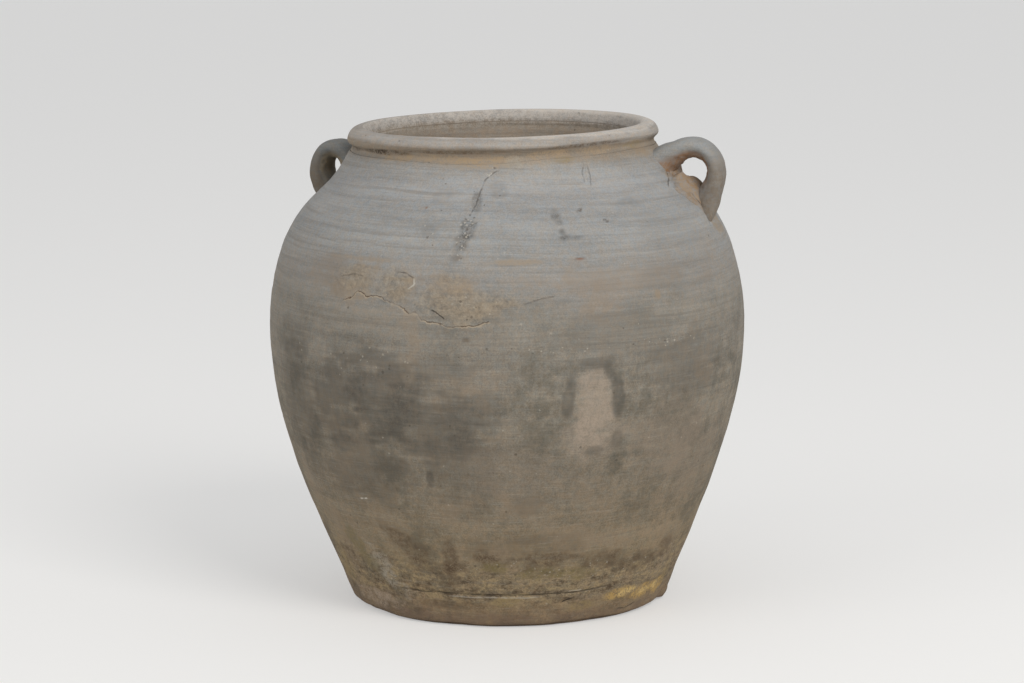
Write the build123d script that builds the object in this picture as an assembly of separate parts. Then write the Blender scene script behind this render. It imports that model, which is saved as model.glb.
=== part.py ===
from build123d import *

import math
import os

# Two-handled round jar of unglazed grey clay, as the pieces that its potter joined: a base pan,
# two wall sections, a neck collar and a rolled lip on one axis, and two strap handles whose ends
# are held by pressed wads of clay.
# Frame: millimetres, +Z up, origin at the middle of the flat underside, handles to +X and -X and
# both set back a little towards +Y.

# Heights that stack up to the whole jar.
LOWER_BODY_HEIGHT = 203.0
UPPER_BODY_HEIGHT = 138.5
NECK_HEIGHT = 10.0
LIP_HEIGHT = 8.5

# Outside of the body: the points its curve passes through. The fullness of a point is its share of
# the way out to the belly, from the foot for the flank and from the neck edge for the others.
FOOT_RADIUS = 118.0
FOOT_EDGE_ROUND = 4.0
BELLY_RADIUS = 179.5
FLANK_HEIGHT = 86.0
FLANK_FULLNESS = 0.582
SHOULDER_DROP = 60.5
SHOULDER_FULLNESS = 0.7625
SLOPE_DROP = 35.5
SLOPE_FULLNESS = 0.48
ROOT_DROP = 11.5
ROOT_SPREAD = 7.1

# Neck and rolled lip.
NECK_RADIUS = 114.0
NECK_WALL = 14.0
NECK_FLARE = 0.6
NECK_STEP = 0.9
LIP_OVERHANG = 3.0
LIP_BULGE_RISE = 3.4
CREST_INSET = 8.0
LIP_ROUND_DEPTH = 10.0
THROAT_DROP = 5.5

# Clay thicknesses and the floor inside.
WALL = 10.0
FLOOR = 14.0
FLOOR_ROUND = 16.0

# Bevelled joints: height on the outside, and how far a joint falls towards the inside.
BASE_JOINT_HEIGHT = 27.0
BELLY_JOINT_RISE = 11.0
JOINT_FALL = 6.0

# Strap of both handles, and how its loop stands on the shoulder.
STRAP_WIDTH = 28.0
STRAP_THICKNESS = 10.5
STRAP_SINK = 5.0
LOOP_STANDOFF = 10.0
LOOP_RISE = 6.0
UPPER_FOOT_DROP = 20.5
LOWER_FOOT_DROP = 50.5
INNER_BEND_SHARE = 0.36
OUTER_BEND_SHARE = 0.6
LOWER_BEND_SHARE = 0.35

# How many degrees each handle stands behind the X axis.
HANDLE_SETBACK = 6.25

# Each loop's own size: outer limb beyond the lower foot, top above the neck edge, length of limb.
RIGHT_LOOP_OVERHANG = 3.0
RIGHT_LOOP_TOP = 13.0
RIGHT_LIMB_LENGTH = 36.0
LEFT_LOOP_OVERHANG = 0.5
LEFT_LOOP_TOP = 5.0
LEFT_LIMB_LENGTH = 30.0

# Wads pressed round the strap ends: spread over the surface and height above it.
UPPER_WAD_SPREAD = 17.0
UPPER_WAD_HEIGHT = 4.5
LOWER_WAD_SPREAD = 18.0
LOWER_WAD_HEIGHT = 5.0

# Places that follow from the sizes above.
NECK_EDGE_HEIGHT = LOWER_BODY_HEIGHT + UPPER_BODY_HEIGHT
LIP_JOINT_HEIGHT = NECK_EDGE_HEIGHT + NECK_HEIGHT
HEIGHT = LIP_JOINT_HEIGHT + LIP_HEIGHT
NECK_FOOT_RADIUS = NECK_RADIUS + NECK_FLARE
NECK_EDGE_RADIUS = NECK_FOOT_RADIUS + NECK_STEP
THROAT_RADIUS = NECK_RADIUS - NECK_WALL
THROAT_LOW = NECK_EDGE_HEIGHT - THROAT_DROP
OUTSIDE = HEIGHT + BELLY_RADIUS + NECK_EDGE_RADIUS


def at(radius, height):
    """A point of the half-section: radius along +X, height along +Z."""
    return Vector(radius, 0.0, height)


def part_way(start, stop, share):
    """A value that lies a share of the way from one value to another."""
    return start + share * (stop - start)


def share_at_height(curve, height):
    """Where along a rising curve a height lies, from 0 at its foot to 1 at its top."""
    low, high = 0.0, 1.0
    while high - low > 1e-9:
        middle = (low + high) / 2
        if (curve @ middle).Z < height:
            low = middle
        else:
            high = middle
    return low


def point_at_height(curve, height):
    """The point of a rising curve at a height."""
    return curve @ share_at_height(curve, height)


def outward_normal(curve, height):
    """Unit normal of the outside at a height, pointing away from the clay."""
    along = curve % share_at_height(curve, height)
    return Vector(along.Z, 0.0, -along.X)


def level_width(curve, height):
    """Width of the wall when it is cut level at a height."""
    return WALL / outward_normal(curve, height).X


def outer_wall_curve():
    """Outside of the wall, from the foot to the edge under the neck."""
    return Spline(
        at(FOOT_RADIUS, 0.0),
        at(part_way(FOOT_RADIUS, BELLY_RADIUS, FLANK_FULLNESS), FLANK_HEIGHT),
        at(BELLY_RADIUS, LOWER_BODY_HEIGHT),
        at(part_way(NECK_EDGE_RADIUS, BELLY_RADIUS, SHOULDER_FULLNESS), NECK_EDGE_HEIGHT - SHOULDER_DROP),
        at(part_way(NECK_EDGE_RADIUS, BELLY_RADIUS, SLOPE_FULLNESS), NECK_EDGE_HEIGHT - SLOPE_DROP),
        at(NECK_EDGE_RADIUS + ROOT_SPREAD, NECK_EDGE_HEIGHT - ROOT_DROP),
        at(NECK_EDGE_RADIUS, NECK_EDGE_HEIGHT),
    )


def inner_wall_curve(outer):
    """Inside of the wall, one wall thickness in from the outside, from the throat to the floor."""
    points = [at(THROAT_RADIUS, THROAT_LOW)]
    for height in (NECK_EDGE_HEIGHT - SHOULDER_DROP, LOWER_BODY_HEIGHT, FLANK_HEIGHT):
        inwards = outward_normal(outer, height) * -WALL
        points.append(point_at_height(outer, height) + inwards)
    points.append(at(point_at_height(outer, FLOOR).X - level_width(outer, FLOOR), FLOOR))
    return Spline(*points)


def neck_and_lip_edges():
    """Step on the shoulder, concave neck, rolled lip and straight throat, from the outside in."""
    neck_foot = at(NECK_FOOT_RADIUS, NECK_EDGE_HEIGHT)
    neck_top = at(NECK_RADIUS, LIP_JOINT_HEIGHT)
    neck_middle = at(NECK_RADIUS + NECK_FLARE / 8, NECK_EDGE_HEIGHT + 2 * NECK_HEIGHT / 3)
    bulge = at(NECK_RADIUS + LIP_OVERHANG, LIP_JOINT_HEIGHT + LIP_BULGE_RISE)
    crest = at(NECK_RADIUS - CREST_INSET, HEIGHT)
    throat_top = at(THROAT_RADIUS, HEIGHT - LIP_ROUND_DEPTH)
    inwards, down = Vector(-1, 0, 0), Vector(0, 0, -1)
    return [
        Line(at(NECK_EDGE_RADIUS, NECK_EDGE_HEIGHT), neck_foot),
        ThreePointArc(neck_foot, neck_middle, neck_top),
        Spline(neck_top, bulge, crest, tangents=(Vector(1, 0, 1), inwards)),
        Spline(crest, throat_top, tangents=(inwards, down)),
        Line(throat_top, at(THROAT_RADIUS, THROAT_LOW)),
    ]


def nearest_corner(section, point):
    """The corner of a section that lies at a point."""
    return section.vertices().sort_by_distance(point)[0]


def jar_section(outer):
    """Half-section of the whole jar's clay, closed on the axis."""
    inner = inner_wall_curve(outer)
    floor_corner = inner @ 1
    foot_corner = at(FOOT_RADIUS, 0)
    edges = [
        Line(at(0, 0), foot_corner),
        outer,
        *neck_and_lip_edges(),
        inner,
        Line(floor_corner, at(0, FLOOR)),
        Line(at(0, FLOOR), at(0, 0)),
    ]
    section = make_face(edges).face()
    section = section.fillet_2d(FLOOR_ROUND, [nearest_corner(section, floor_corner)])
    return section.fillet_2d(FOOT_EDGE_ROUND, [nearest_corner(section, foot_corner)])


def level_line(height):
    """A level line right across the half-section, from the outside to the axis."""
    return [at(OUTSIDE, height), at(0, height)]


def joint_line(outer_edge, inner_edge):
    """A joint between two edges of the wall, carried on level to the outside and to the axis."""
    return [at(OUTSIDE, outer_edge.Z), outer_edge, inner_edge, at(0, inner_edge.Z)]


def bevelled_joint(outer, height):
    """The joint that meets the outside of the wall at a height and falls towards the inside."""
    edge = point_at_height(outer, height)
    return joint_line(edge, edge - Vector(level_width(outer, height), 0, JOINT_FALL))


def jar_pieces(section, outer):
    """Base, walls, collar and lip, each a ring between the two joints it was luted on."""
    neck_joint = joint_line(
        at(NECK_FOOT_RADIUS, NECK_EDGE_HEIGHT),
        at(THROAT_RADIUS, THROAT_LOW),
    )
    joints = [
        level_line(-HEIGHT),
        bevelled_joint(outer, BASE_JOINT_HEIGHT),
        bevelled_joint(outer, LOWER_BODY_HEIGHT + BELLY_JOINT_RISE),
        neck_joint,
        level_line(LIP_JOINT_HEIGHT),
        level_line(2 * HEIGHT),
    ]
    names = ["base_pan", "lower_wall", "upper_wall", "neck_collar", "rim_roll"]
    pieces = {}
    for name, below, above in zip(names, joints, joints[1:]):
        band = make_face(Polyline(*below, *reversed(above), close=True)).face()
        pieces[name] = revolve(section & band, Axis.Z).solid()
    return pieces


def jar_core(outer):
    """The jar as if it were solid clay, to trim what is pressed onto its outside."""
    edges = [
        Line(at(0, 0), at(FOOT_RADIUS, 0)),
        outer,
        *neck_and_lip_edges(),
        Line(at(THROAT_RADIUS, THROAT_LOW), at(0, THROAT_LOW)),
        Line(at(0, THROAT_LOW), at(0, 0)),
    ]
    return revolve(make_face(edges), Axis.Z).solid()


def bend_radius(before, corner, after, share):
    """Radius of a bend whose arc takes up a share of the shorter of the two runs at a corner."""
    run_in, run_out = corner - before, after - corner
    half_turn = math.radians(run_in.get_angle(run_out)) / 2
    return share * min(run_in.length, run_out.length) / math.tan(half_turn)


def strap_handle(outer, core, overhang, loop_top, limb_length):
    """A strap bent into a loop on the +X side: up from the shoulder, over, and down to it again."""
    lower_height = NECK_EDGE_HEIGHT - LOWER_FOOT_DROP
    lower_seat = point_at_height(outer, lower_height)
    inner_limb = NECK_RADIUS + LOOP_STANDOFF
    outer_limb = lower_seat.X + overhang
    top = NECK_EDGE_HEIGHT + loop_top - STRAP_THICKNESS / 2
    upper_foot = at(inner_limb - STRAP_SINK, NECK_EDGE_HEIGHT - UPPER_FOOT_DROP)
    lower_foot = lower_seat - outward_normal(outer, lower_height) * STRAP_SINK
    route = [
        upper_foot,
        at(inner_limb, top - LOOP_RISE),
        at(outer_limb, top),
        at(outer_limb, top - limb_length),
        lower_foot,
    ]
    shares = [INNER_BEND_SHARE, OUTER_BEND_SHARE, LOWER_BEND_SHARE]
    radii = [bend_radius(*corner, share) for *corner, share in zip(route, route[1:], route[2:], shares)]
    path = FilletPolyline(*route, radius=radii)
    start = Plane(path @ 0, x_dir=(0, 1, 0), z_dir=path % 0)
    strap = sweep(start * SlotOverall(STRAP_WIDTH, STRAP_THICKNESS), path)
    return largest_solid(strap - core)


def pressed_wad(outer, height, spread, rise, *neighbours):
    """A low dome of clay on the +X side of the jar, pressed against the clay that it meets."""
    radius = (spread**2 + rise**2) / (2 * rise)
    depth = outward_normal(outer, height) * (radius - rise)
    wad = Pos(point_at_height(outer, height) - depth) * Sphere(radius)
    for neighbour in neighbours:
        wad = largest_solid(wad - neighbour)
    return wad


def largest_solid(shape):
    """The one body that remains of a trimmed shape, without crumbs cut off beside it."""
    return shape.solids().sort_by(SortBy.VOLUME)[-1]


def handle_pieces(outer, core, side, overhang, loop_top, limb_length, bearing):
    """One handle and its two wads, turned about the jar's axis to their bearing."""
    strap = strap_handle(outer, core, overhang, loop_top, limb_length)
    upper_height = NECK_EDGE_HEIGHT - UPPER_FOOT_DROP
    lower_height = NECK_EDGE_HEIGHT - LOWER_FOOT_DROP
    upper = pressed_wad(outer, upper_height, UPPER_WAD_SPREAD, UPPER_WAD_HEIGHT, core, strap)
    lower = pressed_wad(outer, lower_height, LOWER_WAD_SPREAD, LOWER_WAD_HEIGHT, core, strap, upper)
    turn = Rot(0, 0, bearing)
    return {
        f"{side}_handle": turn * strap,
        f"{side}_upper_wad": turn * upper,
        f"{side}_lower_wad": turn * lower,
    }


def main():
    """Build every piece and write one file for each."""
    outer = outer_wall_curve()
    core = jar_core(outer)
    pieces = jar_pieces(jar_section(outer), outer)
    pieces |= handle_pieces(
        outer, core, "right", RIGHT_LOOP_OVERHANG, RIGHT_LOOP_TOP, RIGHT_LIMB_LENGTH, HANDLE_SETBACK
    )
    pieces |= handle_pieces(
        outer, core, "left", LEFT_LOOP_OVERHANG, LEFT_LOOP_TOP, LEFT_LIMB_LENGTH, 180 - HANDLE_SETBACK
    )
    os.makedirs("parts", exist_ok=True)
    for name, piece in pieces.items():
        export_step(piece, os.path.join("parts", f"{name}.step"))
        print(f"{name}: {piece.volume / 1000:.1f} cm3")


main()
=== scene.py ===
"""Looks of a two-handled round jar of unglazed grey clay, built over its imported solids.

Each piece of the jar is remade as a hand-worked mesh in the place of its solid: the turned rings
of the body, the strap loops and the wads pressed round their ends. One surface describes the
relief and the marks of the whole body, so the rings meet along their joints.

Lengths are metres, with MM for sizes written in millimetres. A bearing is in degrees round the
jar from its front (-Y), positive towards +X.
"""

import logging
import math
from dataclasses import dataclass
from enum import Enum
from itertools import product
from typing import Sequence, Union

import bpy
import numpy as np
from mathutils import Matrix, Vector


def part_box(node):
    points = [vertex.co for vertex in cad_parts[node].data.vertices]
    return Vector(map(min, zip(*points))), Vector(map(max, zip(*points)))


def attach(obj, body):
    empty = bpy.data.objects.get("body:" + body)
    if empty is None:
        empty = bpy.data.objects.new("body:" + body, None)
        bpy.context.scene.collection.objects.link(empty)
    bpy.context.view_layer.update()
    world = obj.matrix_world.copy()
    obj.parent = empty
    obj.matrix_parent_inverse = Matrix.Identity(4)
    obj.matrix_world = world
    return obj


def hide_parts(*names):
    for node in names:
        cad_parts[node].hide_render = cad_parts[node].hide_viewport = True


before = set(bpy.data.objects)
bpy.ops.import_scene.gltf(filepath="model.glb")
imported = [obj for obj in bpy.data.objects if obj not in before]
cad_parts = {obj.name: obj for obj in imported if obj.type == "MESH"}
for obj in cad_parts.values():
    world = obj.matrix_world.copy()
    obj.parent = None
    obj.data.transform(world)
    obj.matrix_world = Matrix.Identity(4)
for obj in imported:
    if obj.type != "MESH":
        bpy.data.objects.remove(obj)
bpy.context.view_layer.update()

MM = 0.001
BODY = "root"
UP = np.array([0.0, 0.0, 1.0])
LOG = logging.getLogger("jar")

Array = np.ndarray
Point = tuple[float, float]
Colour = tuple[float, float, float]


def linear(red: int, green: int, blue: int) -> Colour:
    """A colour written as 0 to 255 screen values, as the linear values that shaders take.

    Args:
        red: Screen value of red.
        green: Screen value of green.
        blue: Screen value of blue.

    Returns:
        The colour in linear light.
    """
    shares = (value / 255 for value in (red, green, blue))
    return tuple(s / 12.92 if s <= 0.04045 else ((s + 0.055) / 1.055) ** 2.4 for s in shares)


def smooth_step(low: float, high: float, values: Array) -> Array:
    """A soft step from 0 at low to 1 at high.

    Args:
        low: Value where the step starts.
        high: Value where the step ends, below low for a falling step.
        values: Values to map.

    Returns:
        The step's height at each value.
    """
    share = np.clip((values - low) / (high - low), 0.0, 1.0)
    return share * share * (3.0 - 2.0 * share)


class ClayNoise:
    """Smooth noise over points in space, the same in every run."""

    TABLE_SIZE = 1 << 16
    PRIMES = np.array([73856093, 19349663, 83492791])

    def __init__(self, seed: int) -> None:
        """Fill the table of lattice values from a seed."""
        self._values = np.random.default_rng(seed).uniform(-1.0, 1.0, self.TABLE_SIZE)

    def at(self, points: Array) -> Array:
        """Noise between -1 and 1 with features one unit across.

        Args:
            points: One row of three coordinates for each point.

        Returns:
            One value for each point.
        """
        cell = np.floor(points).astype(np.int64)
        share = points - cell
        fade = share**3 * (share * (share * 6.0 - 15.0) + 10.0)
        total = np.zeros(len(points))
        for corner in product((0, 1), repeat=3):
            key = ((cell + corner) * self.PRIMES).sum(axis=1) % self.TABLE_SIZE
            weight = np.where(np.array(corner) == 1, fade, 1.0 - fade).prod(axis=1)
            total += weight * self._values[key]
        return total

    def layered(self, points: Array, octaves: int) -> Array:
        """Noise with finer and weaker layers added, for lumps with detail.

        Args:
            points: One row of three coordinates for each point.
            octaves: How many layers to add up.

        Returns:
            One value for each point.
        """
        return sum(self.at(points * 2.0**k + 17.3 * k) / 2.0**k for k in range(octaves))


class CubicCurve:
    """A smooth plane curve through a few points, with free ends."""

    def __init__(self, points: Sequence[Point]) -> None:
        """Solve the bends of the curve so that it runs smoothly through its points.

        Args:
            points: Points to pass through.
        """
        self._points = np.array(points, float)
        self._steps = np.linalg.norm(np.diff(self._points, axis=0), axis=1)
        self._knots = np.concatenate(([0.0], np.cumsum(self._steps)))
        count = len(self._points)
        system = np.eye(count)
        wanted = np.zeros((count, 2))
        slopes = np.diff(self._points, axis=0) / self._steps[:, None]
        for i in range(1, count - 1):
            before, after = self._steps[i - 1], self._steps[i]
            system[i, i - 1 : i + 2] = before, 2.0 * (before + after), after
            wanted[i] = 6.0 * (slopes[i] - slopes[i - 1])
        self._bends = np.linalg.solve(system, wanted)

    def sample(self, count: int) -> Array:
        """Points spread along the curve.

        Args:
            count: How many points to take.

        Returns:
            One row of two coordinates for each point.
        """
        places = np.linspace(0.0, self._knots[-1], count)
        index = np.clip(np.searchsorted(self._knots, places, "right") - 1, 0, len(self._steps) - 1)
        step = self._steps[index][:, None]
        after = (places - self._knots[index])[:, None] / step
        before = 1.0 - after
        bend = (before**3 - before) * self._bends[index] + (after**3 - after) * self._bends[index + 1]
        return before * self._points[index] + after * self._points[index + 1] + bend * step**2 / 6.0


def run_lengths(line: Array) -> Array:
    """Length along a line of points, from 0 at its first point."""
    return np.concatenate(([0.0], np.cumsum(np.linalg.norm(np.diff(line, axis=0), axis=1))))


def even_points(line: Array, spacing: float) -> Array:
    """The same line with its points spread evenly.

    Args:
        line: Points along the line.
        spacing: Wanted distance between points.

    Returns:
        Points along the line, both ends included.
    """
    lengths = run_lengths(line)
    count = max(2, round(lengths[-1] / spacing) + 1)
    places = np.linspace(0.0, lengths[-1], count)
    return np.column_stack([np.interp(places, lengths, line[:, k]) for k in (0, 1)])


def ellipse_arc(centre: Point, radii: Point, start: float, stop: float, count: int = 24) -> Array:
    """Points on a stretch of an upright ellipse.

    Args:
        centre: Radius and height of its middle.
        radii: Half its width and half its height.
        start: Angle in degrees where the stretch begins, 0 outwards and 90 up.
        stop: Angle in degrees where it ends.
        count: How many points to take.

    Returns:
        Points of the half-section along the stretch.
    """
    turn = np.radians(np.linspace(start, stop, count))
    return np.column_stack([centre[0] + radii[0] * np.cos(turn), centre[1] + radii[1] * np.sin(turn)])


class Side(Enum):
    """Which face of the clay a stretch of a half-section belongs to."""

    OUTSIDE = "outside"
    INSIDE = "inside"
    JOINT = "joint"
    UNDERSIDE = "underside"


@dataclass(frozen=True)
class Stretch:
    """A stretch of a half-section that lies on one face of the clay."""

    points: Array
    side: Side


@dataclass(frozen=True)
class JarProfile:
    """Half-section of the jar: sizes from the frame, and the bends of its wall as inset and height in mm."""

    height: float
    belly_radius: float
    neck_radius: float
    base_joint: float
    belly_joint: float
    neck_edge: float
    lip_joint: float
    foot_radius: float = 118.0 * MM
    foot_round: float = 4.0 * MM
    bends: tuple[Point, ...] = ((25.7, 86), (0, 203), (5.2, 252), (15.2, 281), (33.3, 306), (56.9, 330))
    inner_levels: tuple[float, ...] = (281, 203, 86)
    neck_flare: float = 0.6 * MM
    neck_step: float = 0.5 * MM
    neck_wall: float = 14.0 * MM
    lip_overhang: float = 3.0 * MM
    neck_hollow: float = 0.5 * MM
    lip_bulge_rise: float = 1.9 * MM
    lip_under_round: float = 3.4 * MM
    crest_inset: float = 8.0 * MM
    throat_round: float = 15.0 * MM
    throat_drop: float = 5.5 * MM
    wall: float = 10.0 * MM
    floor: float = 14.0 * MM
    floor_round: float = 16.0 * MM
    joint_fall: float = 6.0 * MM

    @classmethod
    def from_frame(cls) -> "JarProfile":
        """Take the joints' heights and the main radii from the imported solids.

        Returns:
            The half-section.
        """
        collar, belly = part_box("neck_collar")[1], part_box("lower_wall")[1]
        return cls(
            height=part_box("rim_roll")[1].z,
            belly_radius=belly.x,
            neck_radius=collar.x - cls.neck_flare,
            base_joint=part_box("base_pan")[1].z,
            belly_joint=belly.z,
            neck_edge=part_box("upper_wall")[1].z,
            lip_joint=collar.z,
        )

    @property
    def throat_radius(self) -> float:
        """Radius of the straight throat."""
        return self.neck_radius - self.neck_wall

    @property
    def neck_foot(self) -> float:
        """Outer radius of the collar where it stands on the shoulder."""
        return self.neck_radius + self.neck_flare

    @property
    def throat_foot(self) -> Point:
        """Where the throat meets the inside of the shoulder."""
        return self.throat_radius, self.neck_edge - self.throat_drop

    def body_line(self) -> Array:
        """Outside of the body from the foot to the edge under the neck.

        Returns:
            Points with growing height.
        """
        bends = [(self.belly_radius - inset * MM, height * MM) for inset, height in self.bends]
        edge = (self.neck_foot + self.neck_step, self.neck_edge)
        return CubicCurve([(self.foot_radius, 0.0), *bends, edge]).sample(600)

    @property
    def under_angle(self) -> float:
        """Angle in degrees on the lip's underside where the lip joins the collar."""
        return -math.degrees(math.asin(self.lip_bulge_rise / self.lip_under_round))

    def neck_line(self) -> Array:
        """Hollow outside of the collar, from its foot up into the underside of the lip.

        Returns:
            Points with growing height.
        """
        low = (self.neck_radius - self.neck_hollow, self.neck_edge + 0.3 * (self.lip_joint - self.neck_edge))
        high = (
            self.neck_radius + 0.1 * self.lip_overhang,
            self.neck_edge + 0.63 * (self.lip_joint - self.neck_edge),
        )
        return CubicCurve([(self.neck_foot, self.neck_edge), low, high, tuple(self.lip_line()[0])]).sample(60)

    def lip_line(self) -> Array:
        """Outside of the rolled lip, from under its bulge to the crest.

        Returns:
            Points with growing height.
        """
        bulge = self.lip_joint + self.lip_bulge_rise
        crest = self.neck_radius - self.crest_inset
        radii = (self.lip_overhang, self.lip_under_round)
        under = ellipse_arc((self.neck_radius, bulge), radii, self.under_angle, 0, 12)
        over = ellipse_arc((crest, bulge), (self.crest_inset + self.lip_overhang, self.height - bulge), 0, 90)
        under[0, 1] = self.lip_joint
        return np.vstack([under, over[1:]])

    def throat_line(self) -> Array:
        """Inside of the lip and neck, from the crest over a soft round down to the throat's foot.

        Returns:
            Points with falling height.
        """
        crest = self.neck_radius - self.crest_inset
        radii = (crest - self.throat_radius, self.throat_round)
        bend = ellipse_arc((crest, self.height - self.throat_round), radii, 90, 180, 60)
        return np.vstack([bend, [self.throat_foot]])

    def inner_line(self) -> Array:
        """Inside of the body, from the foot of the throat down to the floor's corner.

        Returns:
            Points with falling height.
        """
        line = self.body_line()
        normals = outward_normals(line)
        points = [self.throat_foot]
        for level in self.inner_levels:
            index = int(np.argmin(np.abs(line[:, 1] - level * MM)))
            points.append(tuple(line[index] - normals[index] * self.wall))
        corner = int(np.argmin(np.abs(line[:, 1] - self.floor)))
        points.append((line[corner, 0] - self.wall / normals[corner, 0], self.floor))
        return CubicCurve(points).sample(400)


def outward_normals(line: Array) -> Array:
    """Unit normals on the right-hand side of a line of points, which is outwards on a rising one."""
    along = np.gradient(line, axis=0)
    return np.column_stack([along[:, 1], -along[:, 0]]) / np.linalg.norm(along, axis=1)[:, None]


def cut_line(line: Array, low: float, high: float) -> Array:
    """The stretch of a rising line between two heights, cut at exactly those heights.

    Args:
        line: Points with growing height.
        low: Height where the stretch starts.
        high: Height where it ends.

    Returns:
        Points of the stretch, both ends included.
    """
    ends = [(np.interp(level, line[:, 1], line[:, 0]), level) for level in (low, high)]
    inner = line[(line[:, 1] > low + 1e-6) & (line[:, 1] < high - 1e-6)]
    return np.vstack([ends[:1], inner, ends[1:]])


@dataclass(frozen=True)
class Spot:
    """A soft oval on the outside: its place and its half-sizes in mm."""

    bearing: float
    height: float
    half_width: float
    half_height: float


@dataclass(frozen=True)
class Stain(Spot):
    """A patch of another tone: its strength, lean in degrees and how ragged its edge is."""

    tone: Colour
    strength: float
    lean: float = 0.0
    ragged: float = 1.0


@dataclass(frozen=True)
class Patch(Spot):
    """Where the clay is gritty or has flaked, and how strongly."""

    strength: float


@dataclass(frozen=True)
class Crack:
    """A thin line on the outside: its route, groove depth in mm and darkness, negative if pale."""

    route: tuple[Point, ...]
    depth: float
    darkness: float


@dataclass(frozen=True)
class Dent(Spot):
    """A shallow hollow, or a bump if its depth in mm is negative."""

    depth: float


def stains(tone: Colour, *rows: tuple[float, ...]) -> list[Stain]:
    """Stains of one tone, from rows of a stain's other values in their order."""
    return [Stain(*row[:4], tone, *row[4:]) for row in rows]


VIEW_BEARING = 18.75
FAR_GAP = -50.0

TAN = linear(150, 131, 107)
# Dust tone, also used as painted light on the right of the belly.
DUST_AND_LIGHT = linear(138, 124, 108)
PALE_TAN = linear(166, 150, 133)
NECK_TAN = linear(160, 139, 112)
PALE_GREY = linear(160, 152, 138)
OCHRE = linear(184, 152, 92)
STRAW = linear(142, 124, 88)
CREAM = linear(200, 172, 116)
OLIVE = linear(112, 100, 66)
SOOT = linear(70, 66, 60)
# Umber-brown stains, also used as painted shade under the lip and round the left loop's root.
UMBER_AND_SHADE = linear(88, 72, 55)
# Painted shadow: dark brown for the shade under the lip on the neck's left.
LIP_SHADOW_BROWN = linear(66, 55, 44)
RUST = linear(138, 100, 64)
BRICK = linear(128, 78, 44)
FOOT_BROWN = linear(116, 98, 82)
CHALK = linear(196, 190, 178)
# Pale tone laid on the inside under the lip as painted light.
INNER_LIP_LIGHT = linear(198, 189, 178)
# Brown clay of the right loop's inside, made lighter as painted light where the strap shades it.
LOOP_BROWN_AND_LIGHT = linear(170, 143, 112)
# Brown of the left loop's inside, made darker as painted shade.
LEFT_LOOP_IN_SHADE = linear(138, 123, 99)
LIMB_BROWN = linear(108, 91, 70)

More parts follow.
